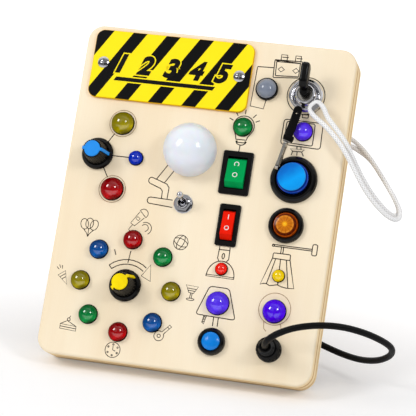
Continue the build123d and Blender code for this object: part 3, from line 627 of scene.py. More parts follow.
@dataclass(frozen=True)
class Pearl(Finish):
    """Milky white plastic of the large dome."""

    tone: Colour = srgb(238, 240, 248)
    # painted rim shade, and also the tone of the random mottle
    edge: Colour = srgb(206, 210, 224)
    milk: float = 0.25
    milk_depth: float = 0.004

    def mix_recipe(self, recipe: Recipe) -> None:
        """Painted shade: the rim of the dome is painted a shade deeper than its middle, and a random mottle
        deepens it in patches.

        Args:
            recipe: The material's node tree.
        """
        weight = recipe.node("ShaderNodeLayerWeight")
        weight.inputs["Blend"].default_value = 0.35
        # painted shade at the rim, from the surface's slope to the view
        rim = recipe.spread(weight.outputs["Facing"], 0.25, 0.9, 0.0, 0.8)
        cloud = recipe.noise(recipe.place(), 0.06, 2.0)
        rim = recipe.maths("ADD", rim, recipe.spread(cloud, 0.35, 0.7, 0.0, 0.12))
        recipe.feed(recipe.mix(rim, self.tone, self.edge), "Base Color")
        recipe.shade(
            Roughness=0.3,
            Coat_Roughness=0.09,
            Subsurface_Weight=self.milk,
            Subsurface_Scale=self.milk_depth,
        )
        recipe.gloss(1.0, "Coat Weight", 0.2, 0.5)


@dataclass(frozen=True)
class FacetedLens(Finish):
    """Amber lens with rays cut inside it round a bright centre."""

    centre: Place = AMBER
    rays: int = 12
    radius: float = 9.4
    spoke: Colour = srgb(132, 56, 6)
    spoke_relief: float = 0.12
    tones_and_painted_glints: Stops = (
        (0.0, srgb(255, 206, 40)),
        (0.14, srgb(250, 172, 16)),
        (0.24, srgb(206, 118, 8)),
        (0.52, srgb(196, 110, 14)),
        (0.66, srgb(222, 140, 40)),
        (0.71, srgb(104, 32, 2)),
        (0.84, srgb(72, 16, 0)),
        # painted glints: a bright ring near the rim
        (0.92, srgb(204, 86, 6)),
        (1.0, srgb(56, 10, 0)),
    )

    def mix_recipe(self, recipe: Recipe) -> None:
        """Rays alternate by angle and the tone deepens with the radius, but for a bright ring of painted
        glints near the rim.

        Args:
            recipe: The material's node tree.
        """
        place = recipe.moved(recipe.place(), move=(-self.centre[0], -self.centre[1], 0))
        radial = recipe.node("ShaderNodeTexGradient", gradient_type="RADIAL")
        recipe.join(place, radial.inputs["Vector"])
        turns = recipe.maths("MULTIPLY", radial.outputs["Fac"], float(self.rays))
        ray = recipe.maths("PINGPONG", turns, 0.5)
        flat = recipe.node("ShaderNodeVectorMath", operation="MULTIPLY")
        recipe.join(place, flat.inputs[0])
        flat.inputs[1].default_value = (1, 1, 0)
        length = recipe.node("ShaderNodeVectorMath", operation="LENGTH")
        recipe.join(flat.outputs["Vector"], length.inputs[0])
        out = recipe.maths("DIVIDE", length.outputs["Value"], self.radius)
        glow = recipe.ramp(out, self.tones_and_painted_glints)
        cloud = recipe.noise(place, 0.5, 3.0)
        patches = recipe.spread(cloud, 0.35, 0.65, 0.35, 0.8)
        spoke = recipe.maths("MULTIPLY", recipe.spread(ray, 0.36, 0.48), patches)
        recipe.feed(recipe.mix(spoke, glow, self.spoke), "Base Color")
        recipe.shade(Roughness=0.3, Specular_IOR_Level=0.05, Coat_Roughness=0.1)
        recipe.gloss(0.25, "Coat Weight")
        recipe.bump(ray, self.spoke_relief, 0.6)


@dataclass(frozen=True)
class ClearBlue(Finish):
    """Clear azure plastic of the large push button, with painted light across its flat top and painted
    highlights on its steps.
    """

    centre: Place = ARCADE
    top: float = 12.2
    painted_light_turn: float = 52.0
    painted_light_waver: float = 5.0
    # painted light: a slanting band that brightens across the flat top
    glow: Stops = (
        (0.0, srgb(0, 84, 168)),
        (0.35, srgb(0, 112, 206)),
        (0.7, srgb(0, 160, 244)),
        (1.0, srgb(0, 146, 232)),
    )
    # painted highlights: thin bright lines on the navy steps of the side
    steps: Stops = (
        (0.0, srgb(2, 10, 48)),
        (0.26, srgb(4, 40, 120)),
        (0.32, srgb(2, 14, 70)),
        (0.5, srgb(4, 70, 190)),
        (0.56, srgb(2, 16, 84)),
        (0.78, srgb(4, 60, 176)),
        (0.86, srgb(2, 24, 100)),
        (1.0, srgb(40, 150, 236)),
    )

    def mix_recipe(self, recipe: Recipe) -> None:
        """A slanting band of painted light crosses the top, and the stepped side is navy with thin painted
        highlights.

        Args:
            recipe: The material's node tree.
        """
        place = recipe.moved(recipe.place(), move=(-self.centre[0], -self.centre[1], 0))
        slant = recipe.axis(recipe.moved(place, turn=self.painted_light_turn), "X")
        cloud = recipe.noise(place, 0.16, 2.0)
        across = recipe.maths("ADD", slant, recipe.maths("MULTIPLY", cloud, self.painted_light_waver))
        glow = recipe.ramp(recipe.spread(across, -11.0, 12.0), self.glow)
        height = recipe.axis(place, "Z")
        side = recipe.ramp(recipe.spread(height, 4.0, 12.0), self.steps)
        flat_top = recipe.spread(height, self.top - 0.35, self.top)
        recipe.feed(recipe.mix(flat_top, side, glow), "Base Color")
        recipe.shade(Roughness=0.16, Specular_IOR_Level=0.05, Coat_Roughness=0.03)
        recipe.gloss(0.4, "Coat Weight")


@dataclass(frozen=True)
class HazardPrint(Finish):
    """Yellow sheet printed with slanting black bars."""

    centre: Place = SIGN
    period: float = 25.6
    bar: float = 10.8
    first: float = -48.8
    slant: float = 0.62
    yellow: Colour = srgb(255, 233, 30)
    bright: Colour = srgb(252, 224, 16)
    black: Colour = srgb(17, 17, 17)
    side: Colour = srgb(236, 180, 22)
    top: float = SIGN_TOP
    blur: float = 0.12

    def mix_recipe(self, recipe: Recipe) -> None:
        """Bars repeat along x after the slant is taken out; the cut edge stays yellow.

        Args:
            recipe: The material's node tree.
        """
        place = recipe.moved(recipe.place(), move=(-self.centre[0], -self.centre[1], 0))
        across = recipe.axis(place, "X")
        up = recipe.axis(place, "Y")
        straight = recipe.maths("SUBTRACT", across, recipe.maths("MULTIPLY", up, self.slant))
        start = recipe.maths("SUBTRACT", straight, self.first)
        phase = recipe.maths("FLOORED_MODULO", start, self.period)
        inside = recipe.spread(phase, self.bar - self.blur, self.bar + self.blur, 1.0, 0.0)
        begun = recipe.spread(phase, 0.0, self.blur)
        bars = recipe.maths("MULTIPLY", inside, begun)
        drift = recipe.noise(place, 0.03, 2.0)
        yellow = recipe.mix(recipe.spread(drift, 0.3, 0.7, 0.0, 0.35), self.yellow, self.bright)
        printed = recipe.mix(bars, yellow, self.black)
        on_top = recipe.spread(recipe.axis(place, "Z"), self.top - 0.45, self.top - 0.15)
        recipe.feed(recipe.mix(on_top, self.side, printed), "Base Color")
        recipe.shade(Roughness=0.3)
        recipe.gloss(0.06, "Specular IOR Level")
        recipe.bump(recipe.noise(place, 2.5, 2.0), 0.004, 0.3)


@dataclass(frozen=True)
class Ink(Finish):
    """Thin print or burnt line whose strength wavers a little."""

    tone: Colour = srgb(18, 14, 12)
    faint: Colour = srgb(58, 46, 34)
    roughness: float = 0.6
    waver_scale: float = 0.22

    def mix_recipe(self, recipe: Recipe) -> None:
        """Noise along the face wavers between the two tones.

        Args:
            recipe: The material's node tree.
        """
        waver = recipe.noise(recipe.place(), self.waver_scale, 3.0)
        recipe.feed(recipe.mix(recipe.spread(waver, 0.42, 0.68), self.tone, self.faint), "Base Color")
        recipe.shade(Roughness=self.roughness, Specular_IOR_Level=0.1)


@dataclass(frozen=True)
class Braid(Finish):
    """Braided sleeve on a cord: two sets of yarns cross round it."""

    tone: Colour
    painted_gap_shade: Colour
    picks: float
    yarns: float
    depth: float
    roughness: float
    sunk: float = -0.4

    def mix_recipe(self, recipe: Recipe) -> None:
        """Two slanting waves along the sleeve's own UV map make the crossings.

        Args:
            recipe: The material's node tree.
        """
        coordinates = recipe.node("ShaderNodeTexCoord")
        uv = coordinates.outputs["UV"]
        along = recipe.maths("MULTIPLY", recipe.axis(uv, "X"), self.picks * 2 * math.pi)
        around = recipe.maths("MULTIPLY", recipe.axis(uv, "Y"), self.yarns * 2 * math.pi)
        right = recipe.maths("SINE", recipe.maths("ADD", along, around))
        left = recipe.maths("SINE", recipe.maths("SUBTRACT", along, around))
        crossing = recipe.maths("MAXIMUM", right, left)
        height = recipe.spread(crossing, self.sunk, 1.0)
        # painted shade: the sunk spaces between the yarns take the darker colour
        recipe.feed(recipe.mix(height, self.painted_gap_shade, self.tone), "Base Color")
        recipe.shade(Roughness=self.roughness, Specular_IOR_Level=0.12)
        recipe.bump(height, self.depth, 0.8)


class Coat(Enum):
    """Every finish on the board, by the name of its slot in the frame's record."""

    BIRCH = Plywood("birch")
    REAR_BOARD = Hardboard("rear_board")
    CHROME = Metal("chrome", srgb(226, 226, 230), 0.07, 0.05)
    STEEL = Metal("steel", srgb(176, 176, 178), 0.22, 0.15)
    ZINC = Metal("zinc_screw", srgb(206, 206, 210), 0.16, 0.12)
    NICKEL = Metal("nickel", srgb(196, 192, 184), 0.14, 0.1)
    BLACK_GLOSS = Plastic("black_gloss", srgb(8, 8, 9), 0.16, 0.0, 0.3, 0.002)
    BLACK_SATIN = Plastic("black_satin", srgb(11, 10, 10), 0.22, 0.0, 0.2, 0.004)
    GREY_HOUSING = Plastic("grey_housing", srgb(92, 93, 96), 0.5)
    KNOB_BLUE = Plastic("knob_blue", srgb(40, 148, 242), 0.36, 0.0, 0.1)
    BUTTON_AZURE = Plastic("button_azure", srgb(0, 132, 228), 0.26, 0.25, 0.2, 0.004)
    KNOB_YELLOW = Plastic("knob_yellow", srgb(255, 226, 0), 0.36, 0.0, 0.1)
    SIGN_YELLOW = HazardPrint("sign_yellow")
    PEARL_WHITE = Pearl("pearl_white")
    GREEN_GLOSS = Plastic("green_gloss", srgb(0, 160, 82), 0.26, 0.0, 0.05, 0.002)
    RED_GLOSS = Plastic("red_gloss", srgb(244, 30, 6), 0.26, 0.0, 0.05, 0.002)
    LAMP_RED = TintedDome("lamp_red", srgb(180, 0, 10), srgb(255, 30, 8), TINY_RED)
    LAMP_GREEN = TintedDome("lamp_green", srgb(0, 142, 66))
    LAMP_OLIVE = TintedDome("lamp_olive", srgb(164, 150, 0))
    LAMP_BLUE = TintedDome("lamp_blue", srgb(2, 88, 172), srgb(0, 44, 190), MINI_BLUE)
    LAMP_PURPLE = TintedDome("lamp_purple", srgb(92, 52, 255), srgb(78, 0, 246), DEEP_VIOLET, 0.5)
    LAMP_YELLOW = TintedDome("lamp_yellow", srgb(255, 226, 10), srgb(255, 218, 0), TINY_YELLOW)
    LENS_AMBER = FacetedLens("lens_amber")
    BUTTON_BLUE = ClearBlue("button_blue")
    BUTTON_GREY = Plastic("button_grey", srgb(128, 136, 152), 0.26, 1.0, 0.1, 0.003)
    RUBBER_BLACK = Plastic("rubber_black", srgb(12, 11, 11), 0.34, 0.0, 0.08, 0.01)
    WHITE_CORD = Braid("white_cord", srgb(252, 252, 252), srgb(216, 215, 216), 210.0, 5.0, 0.1, 0.8)
    CABLE = Braid("cable", srgb(15, 15, 16), srgb(4, 4, 4), 170.0, 6.0, 0.08, 0.4)
    CELL_WRAP = Plastic("cell_wrap", srgb(90, 92, 96), 0.32)
    CIRCUIT_GREEN = Plastic("circuit_green", srgb(24, 110, 62), 0.35)
    WIRE_RED = Plastic("wire_red", srgb(186, 36, 30), 0.35)
    LINE = Ink("line")
    FAINT_LINE = Ink("faint_line", srgb(158, 122, 84), srgb(206, 178, 138))
    MARK_WHITE = Ink("mark_white", srgb(240, 240, 238), srgb(226, 228, 224), 0.4)
    PRINT_BLACK = Ink("print_black", srgb(15, 15, 15), srgb(20, 19, 19), 0.3)
    PRINT_YELLOW = Ink("print_yellow", srgb(255, 233, 30), srgb(252, 226, 20), 0.36)


class Workshop:
    """Makes finished pieces out of meshes, curves and the frame's own nodes."""

    cord_steps: int = 12
    cord_sides: int = 5

    def paint(self, coat: Coat, *nodes: str) -> None:
        """Give nodes of the frame a finish through their material slots.

        Args:
            coat: The finish.
            *nodes: The nodes' names.
        """
        for name in nodes:
            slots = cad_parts[name].data.materials
            for index in range(len(slots)):
                slots[index] = coat.value.material()
            log.info("%s: %s", name, coat.value.name)

    def piece(
        self, name: str, mesh: bmesh.types.BMesh, coat: Coat, body: str, matrix: Matrix
    ) -> bpy.types.Object:
        """Place a mesh in the frame, dress it and set it on a body.

        Args:
            name: The piece's name.
            mesh: Its mesh, in millimetres, which is freed.
            coat: Its finish.
            body: The body that it rides on.
            matrix: From the mesh's millimetres to the frame's metres.

        Returns:
            The new object.
        """
        bmesh.ops.remove_doubles(mesh, verts=mesh.verts, dist=1e-4)
        bmesh.ops.recalc_face_normals(mesh, faces=mesh.faces)
        for part in mesh.faces:
            part.smooth = True
        data = bpy.data.meshes.new(name)
        mesh.to_mesh(data)
        mesh.free()
        data.transform(matrix)
        return self.settle(name, data, coat, body)

    def settle(self, name: str, data: bpy.types.Mesh, coat: Coat, body: str) -> bpy.types.Object:
        """Make an object of a mesh that is in place, and set it on a body.

        Args:
            name: The piece's name.
            data: Its mesh, in the frame's metres.
            coat: Its finish.
            body: The body that it rides on.

        Returns:
            The new object.
        """
        data.materials.clear()
        data.materials.append(coat.value.material())
        made = bpy.data.objects.new(name, data)
        bpy.context.scene.collection.objects.link(made)
        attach(made, body)
        not isinstance(coat.value, Ink)
        log.info("%s: %s, %d faces", name, coat.value.name, len(data.polygons))
        return made

    def mesh_of(self, curve: bpy.types.Curve) -> bpy.types.Mesh:
        """The mesh of a curve or text, whose object is removed.

        Args:
            curve: The curve or text.

        Returns:
            Its mesh.
        """
        source = bpy.data.objects.new("outline", curve)
        bpy.context.scene.collection.objects.link(source)
        bpy.context.view_layer.update()
        graph = bpy.context.evaluated_depsgraph_get()
        data = bpy.data.meshes.new_from_object(source.evaluated_get(graph))
        bpy.data.objects.remove(source)
        return data

    def cord(
        self, name: str, route: Sequence[Point], radius: float, coat: Coat, body: str
    ) -> bpy.types.Object:
        """A cord along a route of places (x, v, n), as one open NURBS curve.

        Args:
            name: The cord's name.
            route: The places that it follows.
            radius: Its radius in millimetres.
            coat: Its finish.
            body: The body that it rides on.

        Returns:
            The cord's object.
        """
        curve = bpy.data.curves.new(name, "CURVE")
        curve.dimensions = "3D"
        curve.resolution_u = self.cord_steps
        curve.render_resolution_u = self.cord_steps
        curve.bevel_depth = radius * MM
        curve.bevel_resolution = self.cord_sides
        curve.use_fill_caps = True
        spline = curve.splines.new("NURBS")
        spline.points.add(len(route) - 1)
        for point, place in zip(spline.points, route):
            point.co = (*FACE.point(*place), 1.0)
        spline.order_u = 3
        spline.use_endpoint_u = True
        curve.materials.append(coat.value.material())
        made = bpy.data.objects.new(name, curve)
        bpy.context.scene.collection.objects.link(made)
        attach(made, body)
        log.info("%s: %s", name, coat.value.name)
        return made

    def centreline(self, cord: bpy.types.Object) -> list[Vector]:
        """Points along a cord's own smooth line, in the frame's metres.

        Args:
            cord: The cord's object.

        Returns:
            The points in order.
        """
        curve = cord.data.copy()
        curve.bevel_depth = 0.0
        data = self.mesh_of(curve)
        return [vertex.co.copy() for vertex in data.vertices]


def length_of(points: Sequence[Vector]) -> float:
    """Length of a line through points."""
    return sum((after - before).length for before, after in zip(points, points[1:]))


@dataclass
class Strokes:
    """Thin lines on the face, gathered into one mesh."""

    width: float = 0.72
    corner_steps: int = 4
    lines: list[tuple[list[Place], bool]] = field(default_factory=list)

    def line(self, *places: Place, closed: bool = False) -> None:
        """Draw straight from place to place."""
        self.lines.append((list(places), closed))

    def arc(
        self,
        centre: Place,
        radius: float,
        start: float = 0.0,
        end: float = 360.0,
        height: float = 1.0,
        turn: float = 0.0,
    ) -> None:
        """Draw part of a circle, or of an ellipse that height squeezes and turn slants.

        Args:
            centre: The middle.
            radius: The radius along the ellipse's first axis.
            start: The first angle in degrees.
            end: The last angle in degrees.
            height: The second axis as a share of the first.
            turn: The slant of the first axis in degrees.
        """
        steps = max(5, round(abs(end - start) / 10))
        closed = abs(end - start) >= 360
        lean = math.radians(turn)
        places = []
        for step in range(steps if closed else steps + 1):
            angle = math.radians(start + (end - start) * step / steps)
            along, across = radius * math.cos(angle), radius * height * math.sin(angle)
            x = centre[0] + along * math.cos(lean) - across * math.sin(lean)
            v = centre[1] + along * math.sin(lean) + across * math.cos(lean)
            places.append((x, v))
        self.lines.append((places, closed))

    def rounded(self, *corners: Place, radius: float = 1.5) -> None:
        """Draw a closed outline with its corners rounded off.

        Args:
            *corners: The outline's corners in order.
            radius: How far a curve reaches.
        """
        places = []
        for index, corner in enumerate(corners):
            here = Vector(corner)
            to_last = (Vector(corners[index - 1]) - here).normalized() * radius
            to_next = (Vector(corners[(index + 1) % len(corners)]) - here).normalized() * radius
            for step in range(self.corner_steps + 1):
                share = step / self.corner_steps
                place = here + to_last * (1 - share) ** 2 + to_next * share**2
                places.append((place.x, place.y))
        self.lines.append((places, True))

    def mesh(self, workshop: Workshop, flat: float = 0.14) -> bpy.types.Mesh:
        """The lines as one flat mesh in the frame.

        Args:
            workshop: Turns the curve into a mesh.
            flat: The lines' height as a share of their width.

        Returns:
            The mesh, in place.
        """
        curve = bpy.data.curves.new("strokes", "CURVE")
        curve.dimensions = "3D"
        curve.bevel_depth = self.width / 2
        curve.bevel_resolution = 0
        for places, closed in self.lines:
            spline = curve.splines.new("POLY")
            spline.points.add(len(places) - 1)
            for point, place in zip(spline.points, places):
                point.co = (*place, 0.0, 1.0)
            spline.use_cyclic_u = closed
        data = workshop.mesh_of(curve)
        data.transform(FACE.matrix() @ Matrix.Scale(flat, 4, (0, 0, 1)))
        return data


@dataclass
class Panel:
    """The birch box and the pictures burnt into its face."""

    workshop: Workshop
    fan_ring: float = 10.1
    lock: Place = (68.7, 212.3)
    lock_ring: float = 14.0
    arrow_radii: tuple[float, float] = (22.0, 18.6)
    bulb: Place = (26.2, 184.6)
    bulb_radius: float = 7.8
    lamp_circle: Place = (69.3, 53.4)
    lamp_circle_radius: float = 11.7
    painted_shadow_width: float = 0.7
    painted_shadow_flat: float = 0.1
    fine_width: float = 0.56
    faint_width: float = 0.5
    cap_width: float = 1.5
    cap_flat: float = 0.05

    def build(self) -> None:
        """Dress the box and burn in its pictures."""
        self.workshop.paint(Coat.BIRCH, "front_panel")
        strokes = Strokes()
        self.selector_lines(strokes)
        self.circuit(strokes)
        self.television(strokes)
        self.light_bulb(strokes)
        self.desk_lamp(strokes)
        self.torch(strokes)
        self.table_lamp(strokes)
        self.pleated_lamp(strokes)
        data = strokes.mesh(self.workshop)
        self.workshop.settle("burnt_lines", data, Coat.LINE, "board")
        # painted shadow: a dark ring on the face round each lamp's foot
        painted_shadow_rings = Strokes(width=self.painted_shadow_width)
        self.painted_lamp_shadows(painted_shadow_rings)
        data = painted_shadow_rings.mesh(self.workshop, self.painted_shadow_flat)
        self.workshop.settle("painted_lamp_shadows", data, Coat.LINE, "board")
        fine = Strokes(width=self.fine_width)
        self.small_pictures(fine)
        data = fine.mesh(self.workshop)
        self.workshop.settle("burnt_pictures", data, Coat.LINE, "board")
        faint = Strokes(width=self.faint_width)
        self.globe_lamp(faint)
        for angle in (FAN_ANGLE, -FAN_ANGLE):
            faint.arc(polar(SELECTOR_A, FAN_RADIUS, angle), self.fan_ring)
        data = faint.mesh(self.workshop)
        self.workshop.settle("faint_lines", data, Coat.FAINT_LINE, "board")
        screw_cap = Strokes(width=self.cap_width)
        x, v = self.bulb
        screw_cap.line((x - 3.9, v - 11.2), (x - 3.2, v - 12.8))
        screw_cap.line((x + 3.3, v - 11.2), (x + 2.6, v - 12.8))
        data = screw_cap.mesh(self.workshop, self.cap_flat)
        self.workshop.settle("bulb_cap_shade", data, Coat.LINE, "board")

    def painted_lamp_shadows(self, strokes: Strokes) -> None:
        """A painted shadow: the dark ring that shows round the foot of each lamp.

        Args:
            strokes: The lines that it adds to.
        """
        lamps = [(polar(SELECTOR_B, RING_RADIUS, 45 * step), RING_LAMP) for step in range(8)]
        lamps += [(polar(SELECTOR_A, FAN_RADIUS, angle), BIG_LAMP) for angle in (FAN_ANGLE, -FAN_ANGLE)]
        lamps += [(MINI_BLUE, MINI_LAMP), (GREEN_LAMP, RING_LAMP), (VIOLET_LAMPS[0], RING_LAMP)]
        lamps += [(VIOLET_LAMPS[1], BIG_LAMP), (DEEP_VIOLET, BIG_LAMP)]
        lamps += [(TINY_RED, TINY_LAMP), (TINY_YELLOW, TINY_LAMP)]
        for place, radius in lamps:
            strokes.arc(place, radius + 0.2)

    def selector_lines(self, strokes: Strokes) -> None:
        """Lines from the upper selector to its lamps, and the arrow over the lower one.

        Args:
            strokes: The lines that it adds to.
        """
        for angle in (FAN_ANGLE, -FAN_ANGLE):
            strokes.line(polar(SELECTOR_A, 11.0, angle), polar(SELECTOR_A, FAN_RADIUS - 9.6, angle))
        strokes.line(polar(SELECTOR_A, 11.0, 0.0), polar(SELECTOR_A, FAN_RADIUS - 5.0, 0.0))
        x, v = SELECTOR_B
        hub = (x, v - 2.6)
        outer, inner = self.arrow_radii
        strokes.arc(hub, outer, 52.0, 132.0)
        strokes.arc(hub, inner, 52.0, 132.0)
        strokes.line(polar(hub, outer, 132.0), polar(hub, inner, 132.0))
        tip, left, right = polar(hub, 19.6, 24.0), polar(hub, 15.4, 47.0), polar(hub, 26.0, 51.0)
        strokes.line(left, tip, right, closed=True)
        strokes.line((x - 0.2, v + 26.0), (x - 1.0, v + 17.0))
        strokes.line((x - 12.6, v + 25.6), (x - 11.0, v + 21.8))

    def circuit(self, strokes: Strokes) -> None:
        """A battery with its leads down to the grey button, and the ring round the lock.

        Args:
            strokes: The lines that it adds to.
        """
        strokes.rounded((41.7, 237.2), (42.2, 223.6), (62.6, 225.2), (62.6, 237.6), radius=0.9)
        strokes.line((42.3, 236.4), (46.3, 236.9), (61.4, 236.2))
        strokes.rounded((43.2, 235.9), (43.7, 225.2), (61.0, 226.0), (61.0, 236.1), radius=0.6)
        for low, high, top in ((46.2, 50.7, 241.5), (56.9, 61.0, 241.6)):
            strokes.line((low, 237.0), (low, top), (high, top), (high, 237.0))
            strokes.line((low + 0.7, 239.6), (high + 0.9, 239.8))
        for x in (47.4, 58.4):
            strokes.line((x - 2.4, 230.3), (x, 232.2), (x + 2.4, 230.3), (x, 228.4), closed=True)
        x, v = GREY_BUTTON
        strokes.line((41.6, 231.0), (29.6, 230.6))
        strokes.line((29.6, 230.6), (28.6, 200.4), (38.6, 199.2), (x + 0.4, v - 7.4))
        strokes.arc(self.lock, self.lock_ring)
        strokes.rounded((68.2, 198.2), (68.3, 195.8), (72.6, 196.0), (72.7, 198.2), radius=0.4)

    def television(self, strokes: Strokes) -> None:
        """A screen round the violet lamp, on its foot.

        Args:
            strokes: The lines that it adds to.
        """
        strokes.rounded((55.4, 193.4), (55.2, 174.6), (84.8, 173.6), (84.4, 193.0), radius=2.4)
        strokes.rounded((57.6, 192.0), (57.4, 176.2), (78.8, 175.4), (78.6, 192.0), radius=1.6)
        strokes.line((67.6, 174.0), (68.0, 171.8))
        strokes.line((70.6, 173.8), (71.0, 171.9))
        strokes.line((62.9, 171.8), (73.4, 172.0), (71.7, 170.3), (64.9, 170.2), closed=True)
        for top, foot in ((64.9, 64.4), (68.3, 68.5), (71.7, 73.4)):
            strokes.line((top, 170.2), (foot, 167.2))

    def light_bulb(self, strokes: Strokes) -> None:
        """A bulb round the green lamp, its rays, and its lead to the switch.

        Args:
            strokes: The lines that it adds to.
        """
        x, v = self.bulb
        strokes.arc((x, v), self.bulb_radius, -32.0, 210.0)
        strokes.line(polar((x, v), self.bulb_radius, 210.0), (x - 5.2, v - 7.2), (x - 4.4, v - 10.4))
        strokes.line(polar((x, v), self.bulb_radius, -32.0), (x + 4.2, v - 7.6), (x + 3.4, v - 10.2))
        strokes.line((x - 4.6, v - 10.3), (x + 3.6, v - 10.2))
        strokes.arc((x - 0.4, v - 11.6), 3.6, 180.0, 360.0, 0.75)
        strokes.line((x - 3.8, v - 12.4), (x + 3.0, v - 12.4))
        strokes.line((x - 0.6, v - 14.6), (x - 0.8, GREEN_SWITCH[1] + 16.4))
        for angle in (26.0, 50.0, 91.0, 126.0, 156.0):
            strokes.line(polar((x, v), 9.2, angle), polar((x, v), 12.6, angle))

    def desk_lamp(self, strokes: Strokes) -> None:
        """A jointed lamp whose shade is the pearl dome, standing by the toggle switch.

        Args:
            strokes: The lines that it adds to.
        """
        strokes.line((-18.0, 123.6), (-34.6, 124.0))
        strokes.arc((-34.6, 121.6), 2.4, 90.0, 270.0)
        strokes.line((-34.6, 119.2), (-17.4, 118.2))
        strokes.line((-26.6, 123.8), (-26.8, 129.4), (-28.4, 131.2), (-36.4, 134.0))
        strokes.arc((-35.8, 136.4), 2.5, 100.0, 255.0)
        strokes.line((-36.2, 138.9), (-24.2, 135.0), (-22.2, 132.4), (-22.4, 123.7))
        strokes.line((-32.6, 137.8), (-24.6, 151.2))
        strokes.line((-26.2, 135.8), (-20.4, 145.6))

    def torch(self, strokes: Strokes) -> None:
        """A torch that hangs under the red switch and shines down.

        Args:
            strokes: The lines that it adds to.
        """
        strokes.arc((25.9, 71.7), 10.3, 0.0, 180.0, 1.12)
        strokes.line((15.4, 72.4), (15.4, 71.2), (36.2, 71.0), (36.2, 72.2), closed=True)
        strokes.line((22.4, 94.0), (22.0, 85.4), (23.2, 83.0))
        strokes.line((30.1, 94.0), (30.3, 85.0), (28.6, 82.8))
        strokes.line((22.3, 91.5), (30.1, 91.7))
        strokes.arc((26.0, 87.0), 0.9, 0.0, 360.0, 2.2)

    def table_lamp(self, strokes: Strokes) -> None:
        """A table lamp with a wide shade and a pull cord.

        Args:
            strokes: The lines that it adds to.
        """
        strokes.rounded((19.6, 64.0), (12.2, 42.6), (41.8, 41.6), (34.2, 63.8), radius=2.6)
        for top, foot in ((25.9, 26.0), (29.4, 29.5)):
            strokes.line((top, 42.3), (foot, 35.4))
        strokes.line((18.8, 42.4), (17.8, 37.2), (19.2, 36.2), (20.5, 42.4))
        for row in (37.8, 39.4, 41.0):
            strokes.line((18.2, row), (19.8, row + 0.4))

    def pleated_lamp(self, strokes: Strokes) -> None:
        """A hanging lamp with a pleated skirt, on its rail.

        Args:
            strokes: The lines that it adds to.
        """
        strokes.rounded((62.3, 94.0), (62.1, 90.0), (75.1, 89.8), (74.9, 94.0), radius=1.0)
        strokes.line((62.1, 90.0), (56.0, 70.1), (58.2, 70.9), (60.5, 71.0), (62.9, 69.9))
        strokes.line((62.9, 69.9), (68.4, 71.1), (72.0, 70.0), (75.5, 69.5), (80.8, 69.8), (75.1, 89.9))
        for top, foot in ((64.6, (60.5, 71.0)), (68.1, (68.8, 70.9)), (72.4, (76.5, 69.6))):
            strokes.line((top, 90.0), foot)
        strokes.line((67.4, 99.4), (67.5, 94.0))
        strokes.line((69.1, 99.4), (69.1, 94.0))
        for row in (100.1, 98.9):
            strokes.line((60.6, row), (90.0, row - 0.2))
        strokes.arc((61.4, 99.5), 0.8)
        strokes.rounded((90.0, 103.6), (90.0, 95.4), (93.6, 95.4), (93.6, 103.6), radius=1.4)

    def globe_lamp(self, strokes: Strokes) -> None:
        """A round lamp's glass and its neck.

        Args:
            strokes: The lines that it adds to.
        """
        strokes.arc(self.lamp_circle, self.lamp_circle_radius)
        strokes.line(polar(self.lamp_circle, self.lamp_circle_radius, 236.0), (63.4, 38.6), (65.4, 36.6))
        strokes.line(polar(self.lamp_circle, self.lamp_circle_radius, 300.0), (76.6, 36.8))

    def small_pictures(self, strokes: Strokes) -> None:
        """Simple things to find round the lower selector.

        Args:
            strokes: The lines that it adds to.
        """
        self.microphone(strokes, (-42.4, 104.6))
        self.globe(strokes, (-6.9, 93.2))
        self.goblet(strokes, (6.8, 57.6))
        self.lute(strokes, (-9.6, 24.6))
        self.clock(strokes, (-44.6, 8.6))
        self.cake(strokes, (-80.2, 22.8))
        self.trumpet(strokes, (-92.0, 58.4))
        self.balloons(strokes, (-77.4, 96.0))

    def microphone(self, strokes: Strokes, at: Place) -> None:
        """A microphone that stands slanting, with its lead.

        Args:
            strokes: The lines that it adds to.
            at: The picture's middle.
        """
        x, v = at
        strokes.arc((x + 4.4, v + 6.4), 3.4, -55.0, 145.0)
        strokes.line((x + 1.6, v + 8.4), (x + 6.4, v + 3.6))
        strokes.line((x + 1.4, v + 7.4), (x - 4.2, v - 1.6), (x - 1.0, v - 3.4), (x + 5.4, v + 3.2))
        switch = ((x - 0.8, v + 2.0), (x + 0.4, v + 3.8), (x + 2.4, v + 2.4), (x + 1.2, v + 0.8))
        strokes.line(*switch, closed=True)
        strokes.line((x - 2.6, v - 2.6), (x - 5.0, v - 6.4), (x - 3.6, v - 8.0))
        strokes.arc((x + 7.0, v - 4.0), 2.6, -80.0, 150.0)
        strokes.arc((x + 7.4, v - 4.4), 4.6, -60.0, 120.0)

    def globe(self, strokes: Strokes, at: Place) -> None:
        """A globe with two meridians.

        Args:
            strokes: The lines that it adds to.
            at: The picture's middle.
        """
        strokes.arc(at, 5.4)
        strokes.arc(at, 5.4, 0.0, 360.0, 0.42, 70.0)
        strokes.arc(at, 5.4, 200.0, 340.0, 0.5, -20.0)
        strokes.arc(at, 5.4, 20.0, 160.0, 0.5, -20.0)

    def goblet(self, strokes: Strokes, at: Place) -> None:
        """A stemmed glass.

        Args:
            strokes: The lines that it adds to.
            at: The picture's middle.
        """
        x, v = at
        bowl = ((x - 4.6, v + 5.2), (x + 4.6, v + 4.6), (x + 1.6, v - 0.4), (x - 2.0, v - 0.2))
        strokes.line(*bowl, closed=True)
        strokes.line((x - 3.8, v + 3.0), (x + 3.6, v + 2.6))
        strokes.line((x - 2.8, v + 1.4), (x + 2.4, v + 1.2))
        strokes.line((x - 0.5, v - 0.4), (x - 0.8, v - 4.4))
        strokes.line((x + 0.7, v - 0.4), (x + 0.4, v - 4.4))
        strokes.arc((x - 0.2, v - 5.0), 2.8, 0.0, 360.0, 0.28)

